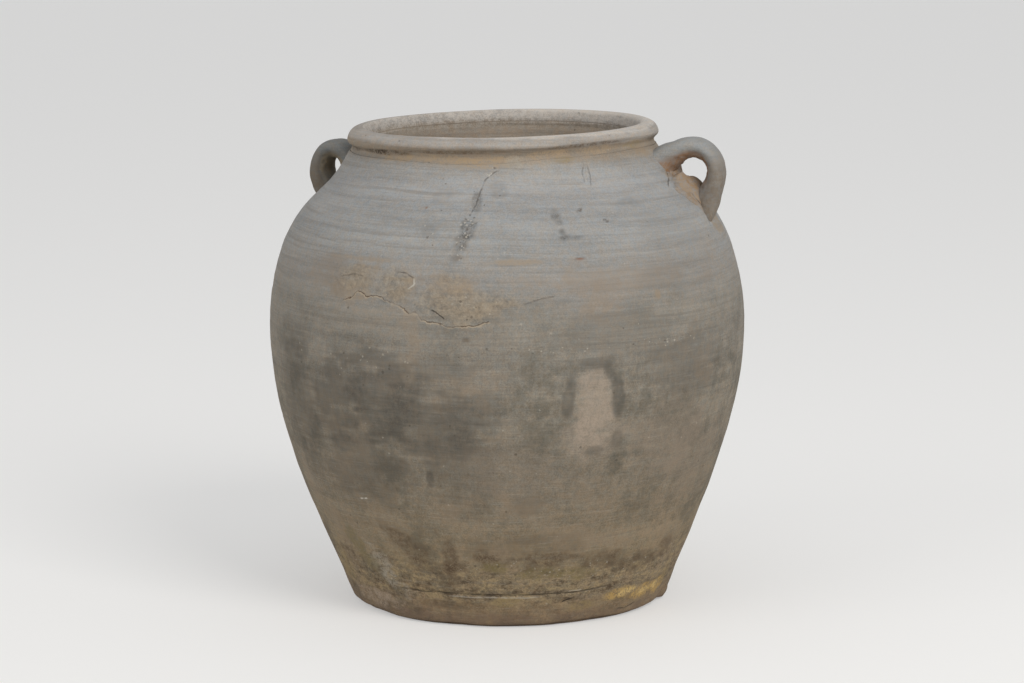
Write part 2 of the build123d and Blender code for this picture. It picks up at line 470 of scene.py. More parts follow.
STAINS_AND_PAINTED_SHADING = (
    # Shoulder: brush marks, tan bands and flecks.
    *stains(SOOT, (33.1, 302, 4.4, 13, 0.45, 8), (35.5, 292.5, 11, 2.2, 0.45), (10, 315, 4, 11, 0.4),
        (8.4, 301, 7, 9, 0.5), (7, 289, 6, 9, 0.5)),
    *stains(UMBER_AND_SHADE, (6, 281, 6, 4, 0.5)),
    *stains(SOOT, (16.8, 324, 6, 8, 0.2), (59, 312, 14, 7, 0.18), (-1, 320, 8, 8, 0.15),
        (-2, 298, 7, 6, 0.2)),
    *stains(TAN, (21, 277.5, 22, 2.6, 0.6), (-20, 276, 36, 2.2, 0.5), (-7.5, 261, 12, 11, 0.55),
        (8, 247, 17, 13, 0.4), (15, 246, 14, 7, 0.4, 20), (-17, 268, 15, 9, 0.5), (-22, 254, 18, 8, 0.5),
        (5, 260, 15, 12, 0.5)),
    *stains(DUST_AND_LIGHT, (45, 262, 60, 8, 0.4), (-30, 262, 26, 16, 0.45)),
    *stains(TAN, (91, 317, 11, 14, 0.75)),
    *stains(RUST, (97, 316, 17, 13, 0.7)),
    *stains(TAN, (96, 289, 15, 12, 0.65)),
    # Painted shade round the left loop's root, laid in umber over the clay.
    *stains(UMBER_AND_SHADE, (-97, 308, 18, 16, 0.7)),
    *stains(BRICK, (37, 278, 4.2, 1.0, 0.7, 0, 0.3), (-5.4, 312.5, 1.1, 1.1, 0.6)),
    *stains(UMBER_AND_SHADE, (40, 309, 3, 1.5, 0.7, 30), (47, 301.5, 2.8, 1.1, 0.6, -30)),
    *stains(TAN, (57, 250, 3, 4, 0.7)),
    *stains(UMBER_AND_SHADE, (9.4, 223.7, 4, 1.3, 0.6)),
    # Neck: tan dust between grey smears, ochre, and painted shadow under the lip.
    *stains(NECK_TAN, (-24, 344.5, 16, 4, 0.7), (-3, 345, 22, 4, 0.6), (11, 344, 20, 4.5, 0.75),
        (36, 345, 18, 4, 0.7), (57, 346, 22, 4, 0.6)),
    *stains(STRAW, (76, 346, 12, 5, 0.55), (41, 341, 9, 3, 0.6)),
    *stains(PALE_GREY, (23, 341, 7, 6, 0.4)),
    *stains(NECK_TAN, (12, 339.5, 22, 2.5, 0.45)),
    # Painted shadow under the lip: a wide dark band on the left, and thin dark lines along the lip's lower
    # edge.
    *stains(LIP_SHADOW_BROWN, (-32, 347.5, 28, 3.4, 0.75, 0, 0.5), (-60, 347, 30, 4, 0.55, 0, 0.5)),
    *stains(UMBER_AND_SHADE, (0, 349.8, 44, 1.8, 0.55, 0, 0.5), (50, 350.5, 44, 1.8, 0.55, 0, 0.5)),
    *stains(NECK_TAN, (120, 345, 40, 4, 0.6), (170, 345, 40, 4, 0.5), (220, 345, 40, 4, 0.6)),
    *stains(TAN, (80, 339, 12, 5, 0.5)),
    # Belly: soot clouds, the pale oval between two smudges, and painted light on the lower right.
    *stains(SOOT, (-12, 179, 34, 36, 0.48, 0, 0.7), (0, 160, 40, 32, 0.42, 0, 0.8),
        (-27, 173, 30, 38, 0.45, 0, 0.7), (11, 165, 26, 22, 0.3, 0, 0.8), (8, 125, 30, 40, 0.2, 0, 0.8),
        (66, 196, 42, 26, 0.33, 0, 0.7), (47, 224, 44, 22, 0.2, 0, 0.6), (-20, 122, 44, 30, 0.36, 0, 0.6),
        (-42, 165, 28, 50, 0.42, 0, 0.5), (-42, 215, 30, 16, 0.2, 0, 0.5)),
    *stains(UMBER_AND_SHADE, (24, 62, 44, 16, 0.28, 0, 0.8)),
    *stains(SOOT, (66, 275, 44, 40, 0.09, 0, 0.5), (3, 202, 26, 9, 0.25), (-1, 118.5, 3.5, 7, 0.6),
        (24, 100, 16, 9, 0.25)),
    *stains(PALE_TAN, (39.2, 172, 14, 32, 0.62, 0, 0.6), (40, 150, 24, 17, 0.34, 0, 0.8)),
    # Painted light on the right of the belly, in a dust tone.
    *stains(DUST_AND_LIGHT, (62, 150, 40, 30, 0.4)),
    *stains(SOOT, (32.9, 178, 5.5, 17, 0.55, -6, 0.7), (45.2, 181, 5.5, 18, 0.55, 6, 0.7),
        (39, 205, 13, 3.6, 0.45, -4, 0.6), (43, 197, 4, 8, 0.4, 35, 0.6), (40, 140, 8, 4, 0.4, 0, 0.8),
        (46, 147, 5, 7, 0.35, 0, 0.8), (33.4, 196, 3, 7, 0.3, -30, 0.6)),
    # Dust in front; the second stain, at bearing 75, is painted light on the lower right.
    *stains(DUST_AND_LIGHT, (20, 130, 30, 30, 0.25), (75, 120, 34, 44, 0.4)),
    # Foot: a scraped patch, soot, olive crust, ochre flames and the smooth edge.
    *stains(UMBER_AND_SHADE, (-13, 66, 33, 9, 0.6, -44)),
    *stains(PALE_GREY, (-24, 45, 19, 9, 0.5, -55), (-19, 29, 13, 7, 0.5, -40)),
    *stains(OLIVE, (-32, 55, 9, 22, 0.5, 40)),
    *stains(UMBER_AND_SHADE, (-40, 40, 14, 18, 0.3, 40)),
    *stains(STRAW, (-48, 32, 16, 16, 0.5)),
    *stains(PALE_TAN, (-34, 14, 26, 10, 0.55)),
    *stains(TAN, (72, 72, 34, 24, 0.4)),
    *stains(UMBER_AND_SHADE, (1.7, 58, 7, 15, 0.6), (12.6, 58, 9, 6, 0.6), (2, 42, 14, 9, 0.55),
        (64, 45, 15, 9, 0.6), (75, 52, 10, 12, 0.55), (55, 49, 12, 8, 0.5), (30, 56, 26, 6, 0.55),
        (48, 54, 20, 7, 0.5), (-8, 48, 16, 8, 0.45)),
    *stains(OLIVE, (16, 50, 13, 5, 0.65), (28.5, 45, 18, 5, 0.55), (40, 42, 15, 5, 0.6)),
    *stains(STRAW, (17.7, 22, 11, 4, 0.6), (43.6, 15.5, 15, 4, 0.6)),
    *stains(OCHRE, (58, 21, 14, 5, 0.6, 8), (70, 18, 17, 5.5, 0.7, 8), (81, 18, 11, 7, 0.6, 10)),
    *stains(STRAW, (84, 24, 6, 9, 0.6)),
    *stains(CREAM, (62, 21, 9, 3, 0.85, 10), (71, 18.5, 8, 2, 0.8, 8), (78, 20, 5, 3, 0.7, 10)),
    *stains(FOOT_BROWN, (20, 5, 120, 7, 0.5)),
    *stains(UMBER_AND_SHADE, (-4, 18, 20, 4, 0.4)),
    # Back of the jar: clouds like those in front.
    *stains(SOOT, (150, 180, 40, 40, 0.3)),
    *stains(DUST_AND_LIGHT, (190, 120, 36, 30, 0.35)),
    *stains(SOOT, (235, 200, 40, 26, 0.3), (280, 90, 30, 26, 0.3)),
    *stains(UMBER_AND_SHADE, (120, 60, 30, 12, 0.5)),
    *stains(OLIVE, (170, 40, 26, 9, 0.55)),
    *stains(UMBER_AND_SHADE, (215, 55, 30, 12, 0.5)),
    *stains(STRAW, (260, 35, 26, 9, 0.5)),
    *stains(SOOT, (300, 50, 24, 14, 0.45)),
    *stains(TAN, (205, 262, 30, 14, 0.5)),
    *stains(DUST_AND_LIGHT, (140, 290, 30, 5, 0.4), (245, 285, 36, 5, 0.4)),
)

FLAKE_EDGE = (
    (-26.5, 245), (-22.5, 247), (-18.5, 253), (-11.5, 250), (-6.5, 245), (-2.5, 239), (2, 234),
    (6.5, 231), (10.5, 232), (15, 237), (18.5, 242), (22.5, 248), (26.5, 252),
)
FLAKE_TOP = (
    (20.5, 256), (14.5, 263), (8.5, 268), (2.5, 266), (-2.5, 268), (-8.5, 275), (-16.5, 277),
    (-23.5, 270), (-28.5, 258),
)

CRACKS_AND_PAINTED_LINES = (
    Crack(((-24, 26), (-17, 27), (-10, 26.2), (-4, 27.2), (4, 26.5), (12, 27.3), (22, 26.7), (31, 27.5),
           (40, 26.9), (48, 28), (57, 29.5)), 0.9, 0.7),
    # Painted highlight: a pale line along the lower lip of the foot's groove.
    Crack(((-2, 25), (6, 24.8), (14, 25.4), (24, 24.9), (30, 25.6)), -0.2, -0.3),
    Crack(((17.7, 337.5), (15.6, 336), (12.6, 331), (10.8, 323), (9.8, 315), (8.4, 308)), 0.12, 0.5),
    Crack(((15.4, 336), (13.4, 333)), 0.0, -0.8),
    Crack(((48.5, 337), (46.5, 332), (46, 325)), 0.1, 0.35),
    Crack(((49.5, 336), (49.1, 330), (47.5, 323)), 0.1, 0.35),
    Crack(((0, 245.5), (2.2, 242.5), (4.5, 237.5)), 0.5, 0.75),
    Crack(((-8.5, 269), (-6, 268.5), (-3.8, 265)), 0.3, 0.5),
    Crack(((-3.8, 265), (-3.5, 261), (-5.1, 257.5)), -0.3, -0.6),
    Crack(((22.5, 248.5), (27, 252.5), (30.5, 254)), 0.15, 0.35),
    Crack(((-25.5, 262), (-20.5, 265), (-17.5, 264)), 0.2, 0.35),
    Crack(((59.5, 8), (63.5, 7), (68.5, 10)), 0.4, 0.6),
    Crack(((36.5, 19), (38.4, 21), (41, 22.5)), 0.8, 0.85),
    Crack(((-24.1, 97.2), (-21.4, 98.3)), 0.0, -0.9),
    # Painted highlight: a short pale line along the upper edge of the foot's groove.
    Crack(((38, 28.6), (43, 28.6)), -0.2, -0.7),
    Crack(((150, 26.5), (165, 27), (185, 27), (200, 26)), 0.6, 0.6),
    # Dark lines along the right wads' front creases: shallow grooves, darkened as painted shade.
    Crack(((92, 331), (91.5, 327), (88.6, 323.8), (85.6, 320.6), (83.6, 319.4), (80.5, 316.4)), 0.5, 0.6),
    Crack(((88.8, 309), (89.5, 304.5), (90.2, 299.9), (89.8, 293.5), (88.8, 288)), 0.4, 0.55),
)

DENTS = (
    Dent(39.8, 171, 13, 30, 0.35),
    Dent(-45, 62, 40, 26, 1.6),
    Dent(-14, 60, 24, 22, 0.9),
    Dent(94, 6, 7, 6, -2.2),
    Dent(38, 19.5, 6, 3, 0.8),
    Dent(82, 95, 40, 40, 0.6),
    Dent(150, 70, 46, 30, 1.0),
    Dent(215, 110, 50, 40, 0.8),
    Dent(260, 60, 40, 24, 1.2),
    Dent(180, 250, 30, 24, 0.5),
)

GRIT = (
    Patch(14.8, 335.5, 5, 3, 0.8), Patch(10, 314, 4, 10, 0.7), Patch(8.5, 304, 6, 7, 1.0),
    Patch(7.6, 296, 6, 7, 1.0), Patch(7, 287, 4, 8, 1.0), Patch(6, 279, 6, 4, 0.6),
    Patch(-2, 297, 8, 6, 0.6), Patch(45, 216, 90, 2.5, 0.5), Patch(8, 242, 34, 10, 0.15),
    Patch(-14, 200, 30, 12, 0.3), Patch(60, 42, 40, 12, 0.2), Patch(20, 50, 50, 9, 0.2),
)

SCALED = (
    Patch(-20, 263, 22, 11, 0.9), Patch(-9, 259, 18, 14, 1.0), Patch(2, 250, 18, 14, 0.9),
    Patch(9, 246, 24, 15, 1.0), Patch(17, 249, 18, 8, 0.8), Patch(5, 265, 12, 9, 0.7),
)


@dataclass(frozen=True)
class Places:
    """Points on the jar's smooth outside, with their bearings and heights."""

    points: Array
    bearings: Array
    levels: Array


def turned(bearings: Array, middle: float) -> Array:
    """How far bearings lie round the jar from a middle one, from -180 to 180 degrees."""
    return (bearings - middle + 180.0) % 360.0 - 180.0


class LineField:
    """Signed distance in mm from points on the jar's outside to a route drawn on it."""

    def __init__(self, route: Sequence[Point], profile: "OuterLine") -> None:
        """Lay the route out flat round its own middle bearing.

        Args:
            route: Bearing and height in mm of each corner.
            profile: The jar's outside.
        """
        bearings = np.array([p[0] for p in route], float)
        self._middle = bearings.mean()
        levels = np.array([p[1] for p in route], float) * MM
        self._profile = profile
        self._points = self._flat(bearings, levels)

    def _flat(self, bearings: Array, levels: Array) -> Array:
        """Flat coordinates in mm: along the round and up the wall."""
        along = np.radians(turned(bearings, self._middle)) * self._profile.radius_at(levels)
        return np.column_stack([along, self._profile.arc_at(levels)]) / MM

    def distance(self, places: Places) -> tuple[Array, Array]:
        """Signed distance to the route and share along it, for each point.

        Args:
            places: Points on the jar.

        Returns:
            Distance in mm, positive above a route drawn from left to right, and the share of the
            route's length at the nearest place.
        """
        flat = self._flat(places.bearings, places.levels)
        best = np.full(len(flat), np.inf)
        signed = np.full(len(flat), 1e3)
        share = np.zeros(len(flat))
        lengths = run_lengths(self._points)
        for i, (start, stop) in enumerate(zip(self._points, self._points[1:])):
            run = stop - start
            rel = flat - start
            part = np.clip(rel @ run / (run @ run), 0.0, 1.0)
            gap = rel - part[:, None] * run
            size = np.hypot(gap[:, 0], gap[:, 1])
            side = np.sign(run[0] * rel[:, 1] - run[1] * rel[:, 0])
            nearer = size < best
            best = np.where(nearer, size, best)
            signed = np.where(nearer, size * np.where(side == 0, 1.0, side), signed)
            share = np.where(nearer, (lengths[i] + part * (lengths[i + 1] - lengths[i])) / lengths[-1], share)
        return signed, share

    def holds(self, places: Places) -> Array:
        """Which points lie inside the route when it is closed to a loop.

        Args:
            places: Points on the jar.

        Returns:
            True for each point inside.
        """
        flat = self._flat(places.bearings, places.levels)
        inside = np.zeros(len(flat), bool)
        loop = np.vstack([self._points, self._points[:1]])
        for (x0, y0), (x1, y1) in zip(loop, loop[1:]):
            crosses = (y0 > flat[:, 1]) != (y1 > flat[:, 1])
            rise = y1 - y0 if y1 != y0 else 1e-9
            inside ^= crosses & (flat[:, 0] < (x1 - x0) * (flat[:, 1] - y0) / rise + x0)
        return inside


class OuterLine:
    """The jar's outside from the foot to the crest, by height."""

    def __init__(self, profile: JarProfile) -> None:
        """Join the body, neck and lip into one rising line.

        Args:
            profile: Half-section of the jar.
        """
        self.body = profile.body_line()
        line = np.vstack([self.body, profile.neck_line(), profile.lip_line()])
        self._line = line
        self._levels = np.maximum.accumulate(line[:, 1] + np.arange(len(line)) * 1e-10)
        self._arc = run_lengths(line)
        self._normals = outward_normals(self.body)

    def radius_at(self, levels: Array) -> Array:
        """Outer radius at each height."""
        return np.interp(levels, self._levels, self._line[:, 0])

    def arc_at(self, levels: Array) -> Array:
        """Length up the outside from the foot to each height."""
        return np.interp(levels, self._levels, self._arc)

    def level_at(self, arcs: Array) -> Array:
        """Height at each length up the outside."""
        return np.interp(arcs, self._arc, self._levels)

    def body_normal(self, level: float) -> Array:
        """Outward normal of the body at a height, as radius and height parts."""
        index = int(np.argmin(np.abs(self.body[:, 1] - level)))
        return self._normals[index]


@dataclass
class Paint:
    """What the shader reads from each point of a mesh."""

    stain: Array
    line: Array
    flake: Array
    grit: Array
    scaled: Array
    inside: Array

    @classmethod
    def bare(cls, count: int) -> "Paint":
        """Unmarked clay for a number of points."""
        far = np.full(count, FAR_GAP)
        return cls(np.zeros((count, 4)), np.column_stack([far, 0 * far]), far, *np.zeros((3, count)))


class BodySurface:
    """Relief and marks of the turned body, the same for every ring, so that rings meet."""

    RIM_TILT = 0.0171
    RIM_TILT_BEARING = VIEW_BEARING + 90.0
    MOUTH_SHIFT = 2.2 * MM
    LIP_WAVE = (
        (-180, 0), (-130, -1.4), (-88, -2.5), (-67, -2), (-41, 0), (0, 0.6), (15, 1), (36, 2.2), (57, 2.2),
        (88, -1.4), (140, 0), (180, 0),
    )
    FOOT_WAVE = (
        (-180, 0), (-90, 1), (-42, 1.7), (-20, 0), (-2, 0.2), (16, 2.3), (36, 2.8), (55, 3.4), (90, 1.5),
        (140, 0), (180, 0),
    )
    TILTED = (0.255, 0.345)
    SHIFTED = (0.31, 0.343)
    FLAKE_SHOWN = (0.05, 0.78)
    RAGGED = 0.9

    def __init__(self, profile: JarProfile) -> None:
        """Prepare the noises and lay out every mark.

        Args:
            profile: Half-section of the jar.
        """
        self.profile = profile
        self.outer = OuterLine(profile)
        self._lumps = ClayNoise(11)
        self._rings = ClayNoise(23)
        self._facets = ClayNoise(37)
        self._pits = ClayNoise(53)
        self._flake_edge = LineField(FLAKE_EDGE, self.outer)
        self._flake_area = LineField(FLAKE_EDGE + FLAKE_TOP, self.outer)
        self._cracks = [(crack, LineField(crack.route, self.outer)) for crack in CRACKS_AND_PAINTED_LINES]

    def _soft_spot(self, spot: Spot, places: Places, lean: float = 0.0) -> Array:
        """Weight of a soft oval round a spot's place, 1 in its middle.

        Args:
            spot: The oval.
            places: Points on the jar.
            lean: Its turn in degrees.

        Returns:
            One weight for each point.
        """
        along = np.radians(turned(places.bearings, spot.bearing)) * self.outer.radius_at(places.levels) / MM
        up = (self.outer.arc_at(places.levels) - self.outer.arc_at(np.array([spot.height * MM]))[0]) / MM
        turn = math.radians(lean)
        first = (along * math.cos(turn) + up * math.sin(turn)) / spot.half_width
        second = (up * math.cos(turn) - along * math.sin(turn)) / spot.half_height
        return np.exp(-0.9 * (first**2 + second**2) ** 1.4)

    def tilt(self, points: Array) -> Array:
        """Tilt the mouth, shift it a little and let the lip and the neck's foot run in slow waves.

        Args:
            points: Points of the jar.

        Returns:
            The moved points.
        """
        turn = math.radians(self.RIM_TILT_BEARING)
        side = np.array([math.sin(turn), -math.cos(turn)])
        across = points[:, :2] @ side
        forward = points[:, 0] * side[1] - points[:, 1] * side[0]
        swing = np.degrees(np.arctan2(across, forward))
        level = points[:, 2]
        outer = smooth_step(0.1, 0.112, np.hypot(across, forward))
        moved = points.copy()
        moved[:, 2] += self.RIM_TILT * across * smooth_step(*self.TILTED, level)
        lip = outer * smooth_step(0.345, 0.352, level) * smooth_step(0.3595, 0.354, level)
        moved[:, 2] += MM * lip * np.interp(swing, *np.transpose(self.LIP_WAVE))
        foot = outer * smooth_step(0.318, 0.3405, level) * smooth_step(0.352, 0.343, level)
        moved[:, 2] += MM * foot * np.interp(swing, *np.transpose(self.FOOT_WAVE))
        moved[:, :2] -= self.MOUTH_SHIFT * smooth_step(*self.SHIFTED, level)[:, None] * side
        return moved

    def relief(self, places: Places) -> Array:
        """How far the outside stands off its smooth curve.

        Args:
            places: Points on the jar.

        Returns:
            Offset outwards at each point, in metres.
        """
        points, levels = places.points, places.levels
        low = smooth_step(0.235, 0.185, levels)
        body = smooth_step(0.347, 0.33, levels)
        lumps = 0.75 * self._lumps.layered(points / (95 * MM), 3) * (0.35 + 0.65 * body)
        wander = 3.0 * MM * self._rings.at(points / (60 * MM))
        turns = np.column_stack([points[:, :2] / (90 * MM), (levels + wander) / (6.5 * MM)])
        fine = np.column_stack([points[:, :2] / (70 * MM), (levels + wander) / (2.6 * MM)])
        rings = 0.2 * self._rings.at(turns) + 0.09 * self._rings.at(fine)
        rings *= (1.0 - 0.6 * low) * (0.4 + 0.6 * body)
        hatch = np.column_stack([points[:, :2] / (20 * MM), levels / (46 * MM)])
        facets = 0.4 * self._facets.layered(hatch, 2) * low
        pits = -0.5 * smooth_step(0.72, 0.95, self._pits.at(points / (5.5 * MM))) * body
        offset = lumps + rings + facets + pits
        for dent in DENTS:
            offset -= dent.depth * self._soft_spot(dent, places)
        offset += self._flake_relief(places)
        offset += self._crack_relief(places)
        offset += self._foot_relief(places)
        return offset * MM

    def inner_relief(self, points: Array) -> Array:
        """How far the inside stands off its smooth curve: lumps, and finger ridges below the lip.

        Args:
            points: Points on the smooth curve.

        Returns:
            Offset towards the hollow at each point, in metres.
        """
        ridge = np.column_stack([points[:, :2] / (120 * MM), points[:, 2] / (6 * MM)])
        fine = np.column_stack([points[:, :2] / (90 * MM), points[:, 2] / (2.2 * MM)])
        ridges = 0.35 * self._rings.at(ridge) + 0.3 * self._rings.at(fine)
        ridges *= smooth_step(0.357, 0.350, points[:, 2])
        return MM * (0.26 * self._lumps.layered(points / (95 * MM), 3) + ridges)

    def _raggedness(self, points: Array) -> Array:
        """Blotchy and streaky noise that breaks up the outline of a stain."""
        streaky = self._rings.layered(points / np.array([22 * MM, 22 * MM, 3 * MM]), 2)
        return 0.6 * self._pits.layered(points / (13 * MM), 4) + 0.5 * streaky

    def _flake_edge_gap(self, places: Places) -> tuple[Array, Array]:
        """Signed distance in mm to the flake's broken edge, and the share along it."""
        signed, share = self._flake_edge.distance(places)
        return signed + 1.9 * self._pits.layered(places.points / (8 * MM), 3), share

    def _flake_relief(self, places: Places) -> Array:
        """Hollow where the slip has flaked off, with a lip curling up along its lower edge.

        Args:
            places: Points on the jar.

        Returns:
            Offset outwards at each point, in mm.
        """
        points = places.points
        signed, share = self._flake_edge_gap(places)
        ends = smooth_step(0.05, 0.2, share) * smooth_step(0.85, 0.55, share)
        ends *= 0.4 + 0.6 * smooth_step(-0.25, 0.2, self._facets.at(points / (16 * MM)))
        inside = self._flake_area.holds(places)
        fade = smooth_step(18.0, 1.0, signed) * smooth_step(-0.4, 0.9, signed)
        rough = 0.22 * self._pits.layered(points / (4.0 * MM), 2)
        hollow = (-0.75 + rough) * fade * ends
        lip = 0.3 * ends * np.exp(-(((signed + 1.2) / 1.2) ** 2))
        return hollow + lip + 0.3 * inside * self._pits.layered(points / (7.0 * MM), 3)

    def _crack_relief(self, places: Places) -> Array:
        """Grooves along the cracks.

        Args:
            places: Points on the jar.

        Returns:
            Offset outwards at each point, in mm.
        """
        total = np.zeros(len(places.bearings))
        for crack, field in self._cracks:
            signed, share = field.distance(places)
            ends = smooth_step(0.0, 0.08, share) * smooth_step(1.0, 0.92, share)
            total -= crack.depth * ends * np.exp(-((signed / 0.9) ** 2))
        return total

    def _foot_relief(self, places: Places) -> Array:
        """Smoother and slightly pushed-out clay along the foot."""
        near = smooth_step(0.026, 0.008, places.levels)
        return near * (0.6 + 0.9 * self._lumps.at(places.points / (38 * MM)))

    def paint(self, places: Places) -> Paint:
        """Stains, lines, grit and flaked slip at points of the outside; some stains and lines are painted
        shade and painted light.

        Args:
            places: Points on the jar.

        Returns:
            The values that the shader reads.
        """
        paint = Paint.bare(len(places.bearings))
        ragged = self._raggedness(places.points)
        for stain in STAINS_AND_PAINTED_SHADING:
            share = min(1.0, min(stain.half_width, stain.half_height) / 6.0)
            weight = self._soft_spot(stain, places, stain.lean)
            weight += self.RAGGED * stain.ragged * share * ragged * np.sqrt(weight)
            weight = stain.strength * smooth_step(0.2, 0.8, weight)
            old = paint.stain[:, 3] * (1.0 - weight)
            total = np.maximum(old + weight, 1e-6)
            mixed = paint.stain[:, :3] * old[:, None] + np.array(stain.tone) * weight[:, None]
            paint.stain[:, :3] = mixed / total[:, None]
            paint.stain[:, 3] = old + weight
        for spot in GRIT:
            paint.grit = np.maximum(paint.grit, spot.strength * self._soft_spot(spot, places))
        for spot in SCALED:
            paint.scaled = np.maximum(paint.scaled, spot.strength * self._soft_spot(spot, places))
        nearest = np.full(len(places.bearings), np.inf)
        for crack, field in self._cracks:
            signed, share = field.distance(places)
            nearer = np.abs(signed) < nearest
            ends = smooth_step(-0.02, 0.12, share) * smooth_step(1.02, 0.88, share)
            paint.line[:, 0] = np.where(nearer, signed, paint.line[:, 0])
            paint.line[:, 1] = np.where(nearer, crack.darkness * ends, paint.line[:, 1])
            nearest = np.minimum(nearest, np.abs(signed))
        signed, share = self._flake_edge_gap(places)
        start, stop = self.FLAKE_SHOWN
        paint.flake = np.where((share > start) & (share < stop), signed, FAR_GAP)
        return paint


class MeshPiece:
    """A closed mesh made from points and faces, with the paint that its shader reads."""

    SHARP = math.radians(48)

    @classmethod
    def make(cls, name: str, points: Array, faces: list, paint: Paint) -> bpy.types.Object:
        """Build the object and hand over its paint.

        Args:
            name: Name of the piece.
            points: One row for each vertex.
            faces: Vertex numbers of each face.
            paint: What the shader reads at each vertex.

        Returns:
            The new object, in the scene.
        """
        mesh = bpy.data.meshes.new(name)
        mesh.from_pydata(points.tolist(), [], faces)
        mesh.update()
        mesh.shade_smooth()
        mesh.set_sharp_from_angle(angle=cls.SHARP)
        stain = mesh.attributes.new("stain", "FLOAT_COLOR", "POINT")
        stain.data.foreach_set("color", np.ascontiguousarray(paint.stain, np.float32).ravel())
        for label, values in (
            ("line_gap", paint.line[:, 0]),
            ("line_dark", paint.line[:, 1]),
            ("flake_gap", paint.flake),
            ("grit", paint.grit),
            ("scaled", paint.scaled),
            ("inside", paint.inside),
        ):
            layer = mesh.attributes.new(label, "FLOAT", "POINT")
            layer.data.foreach_set("value", np.ascontiguousarray(values, np.float32))
        piece = bpy.data.objects.new(name, mesh)
        bpy.context.scene.collection.objects.link(piece)
        return piece


def grid_faces(rows: int, columns: int, wrap_rows: bool) -> list:
    """Faces of a grid whose columns close to a ring, and whose rows may close as well.

    Args:
        rows: Number of rows.
        columns: Points in each row.
        wrap_rows: Whether the last row joins the first.

    Returns:
        Four vertex numbers for each face.
    """
    top = rows if wrap_rows else rows - 1
    row, column = np.meshgrid(np.arange(top), np.arange(columns), indexing="ij")
    next_row, next_column = (row + 1) % rows, (column + 1) % columns
    corners = [row * columns + column, row * columns + next_column,
               next_row * columns + next_column, next_row * columns + column]
    return np.stack(corners, axis=-1).reshape(-1, 4).tolist()


def cap_faces(start: int, columns: int, middle: int, flip: bool) -> list:
    """A fan of faces that closes a row of points to one middle point.

    Args:
        start: First vertex number of the row.
        columns: Points in the row.
        middle: Vertex number of the middle point.
        flip: Whether the fan faces the other way.

    Returns:
        Three vertex numbers for each face.
    """
    ring = np.arange(columns)
    one, two = start + ring, start + (ring + 1) % columns
    order = (two, one) if flip else (one, two)
    return np.column_stack([*order, np.full(columns, middle)]).tolist()


def capped(points: Array, faces: list, rows: int, columns: int) -> tuple[Array, list]:
    """Close both ends of a grid of rings with a fan to the middle of its end ring.

    Args:
        points: Points, ring by ring.
        faces: Faces between the rings.
        rows: Number of rings.
        columns: Points in each ring.

    Returns:
        Points with the two middles added, and all faces.
    """
    count = len(points)
    faces = faces + cap_faces(0, columns, count, flip=True)
    faces += cap_faces((rows - 1) * columns, columns, count + 1, flip=False)
    return np.vstack([points, points[:columns].mean(axis=0), points[-columns:].mean(axis=0)]), faces


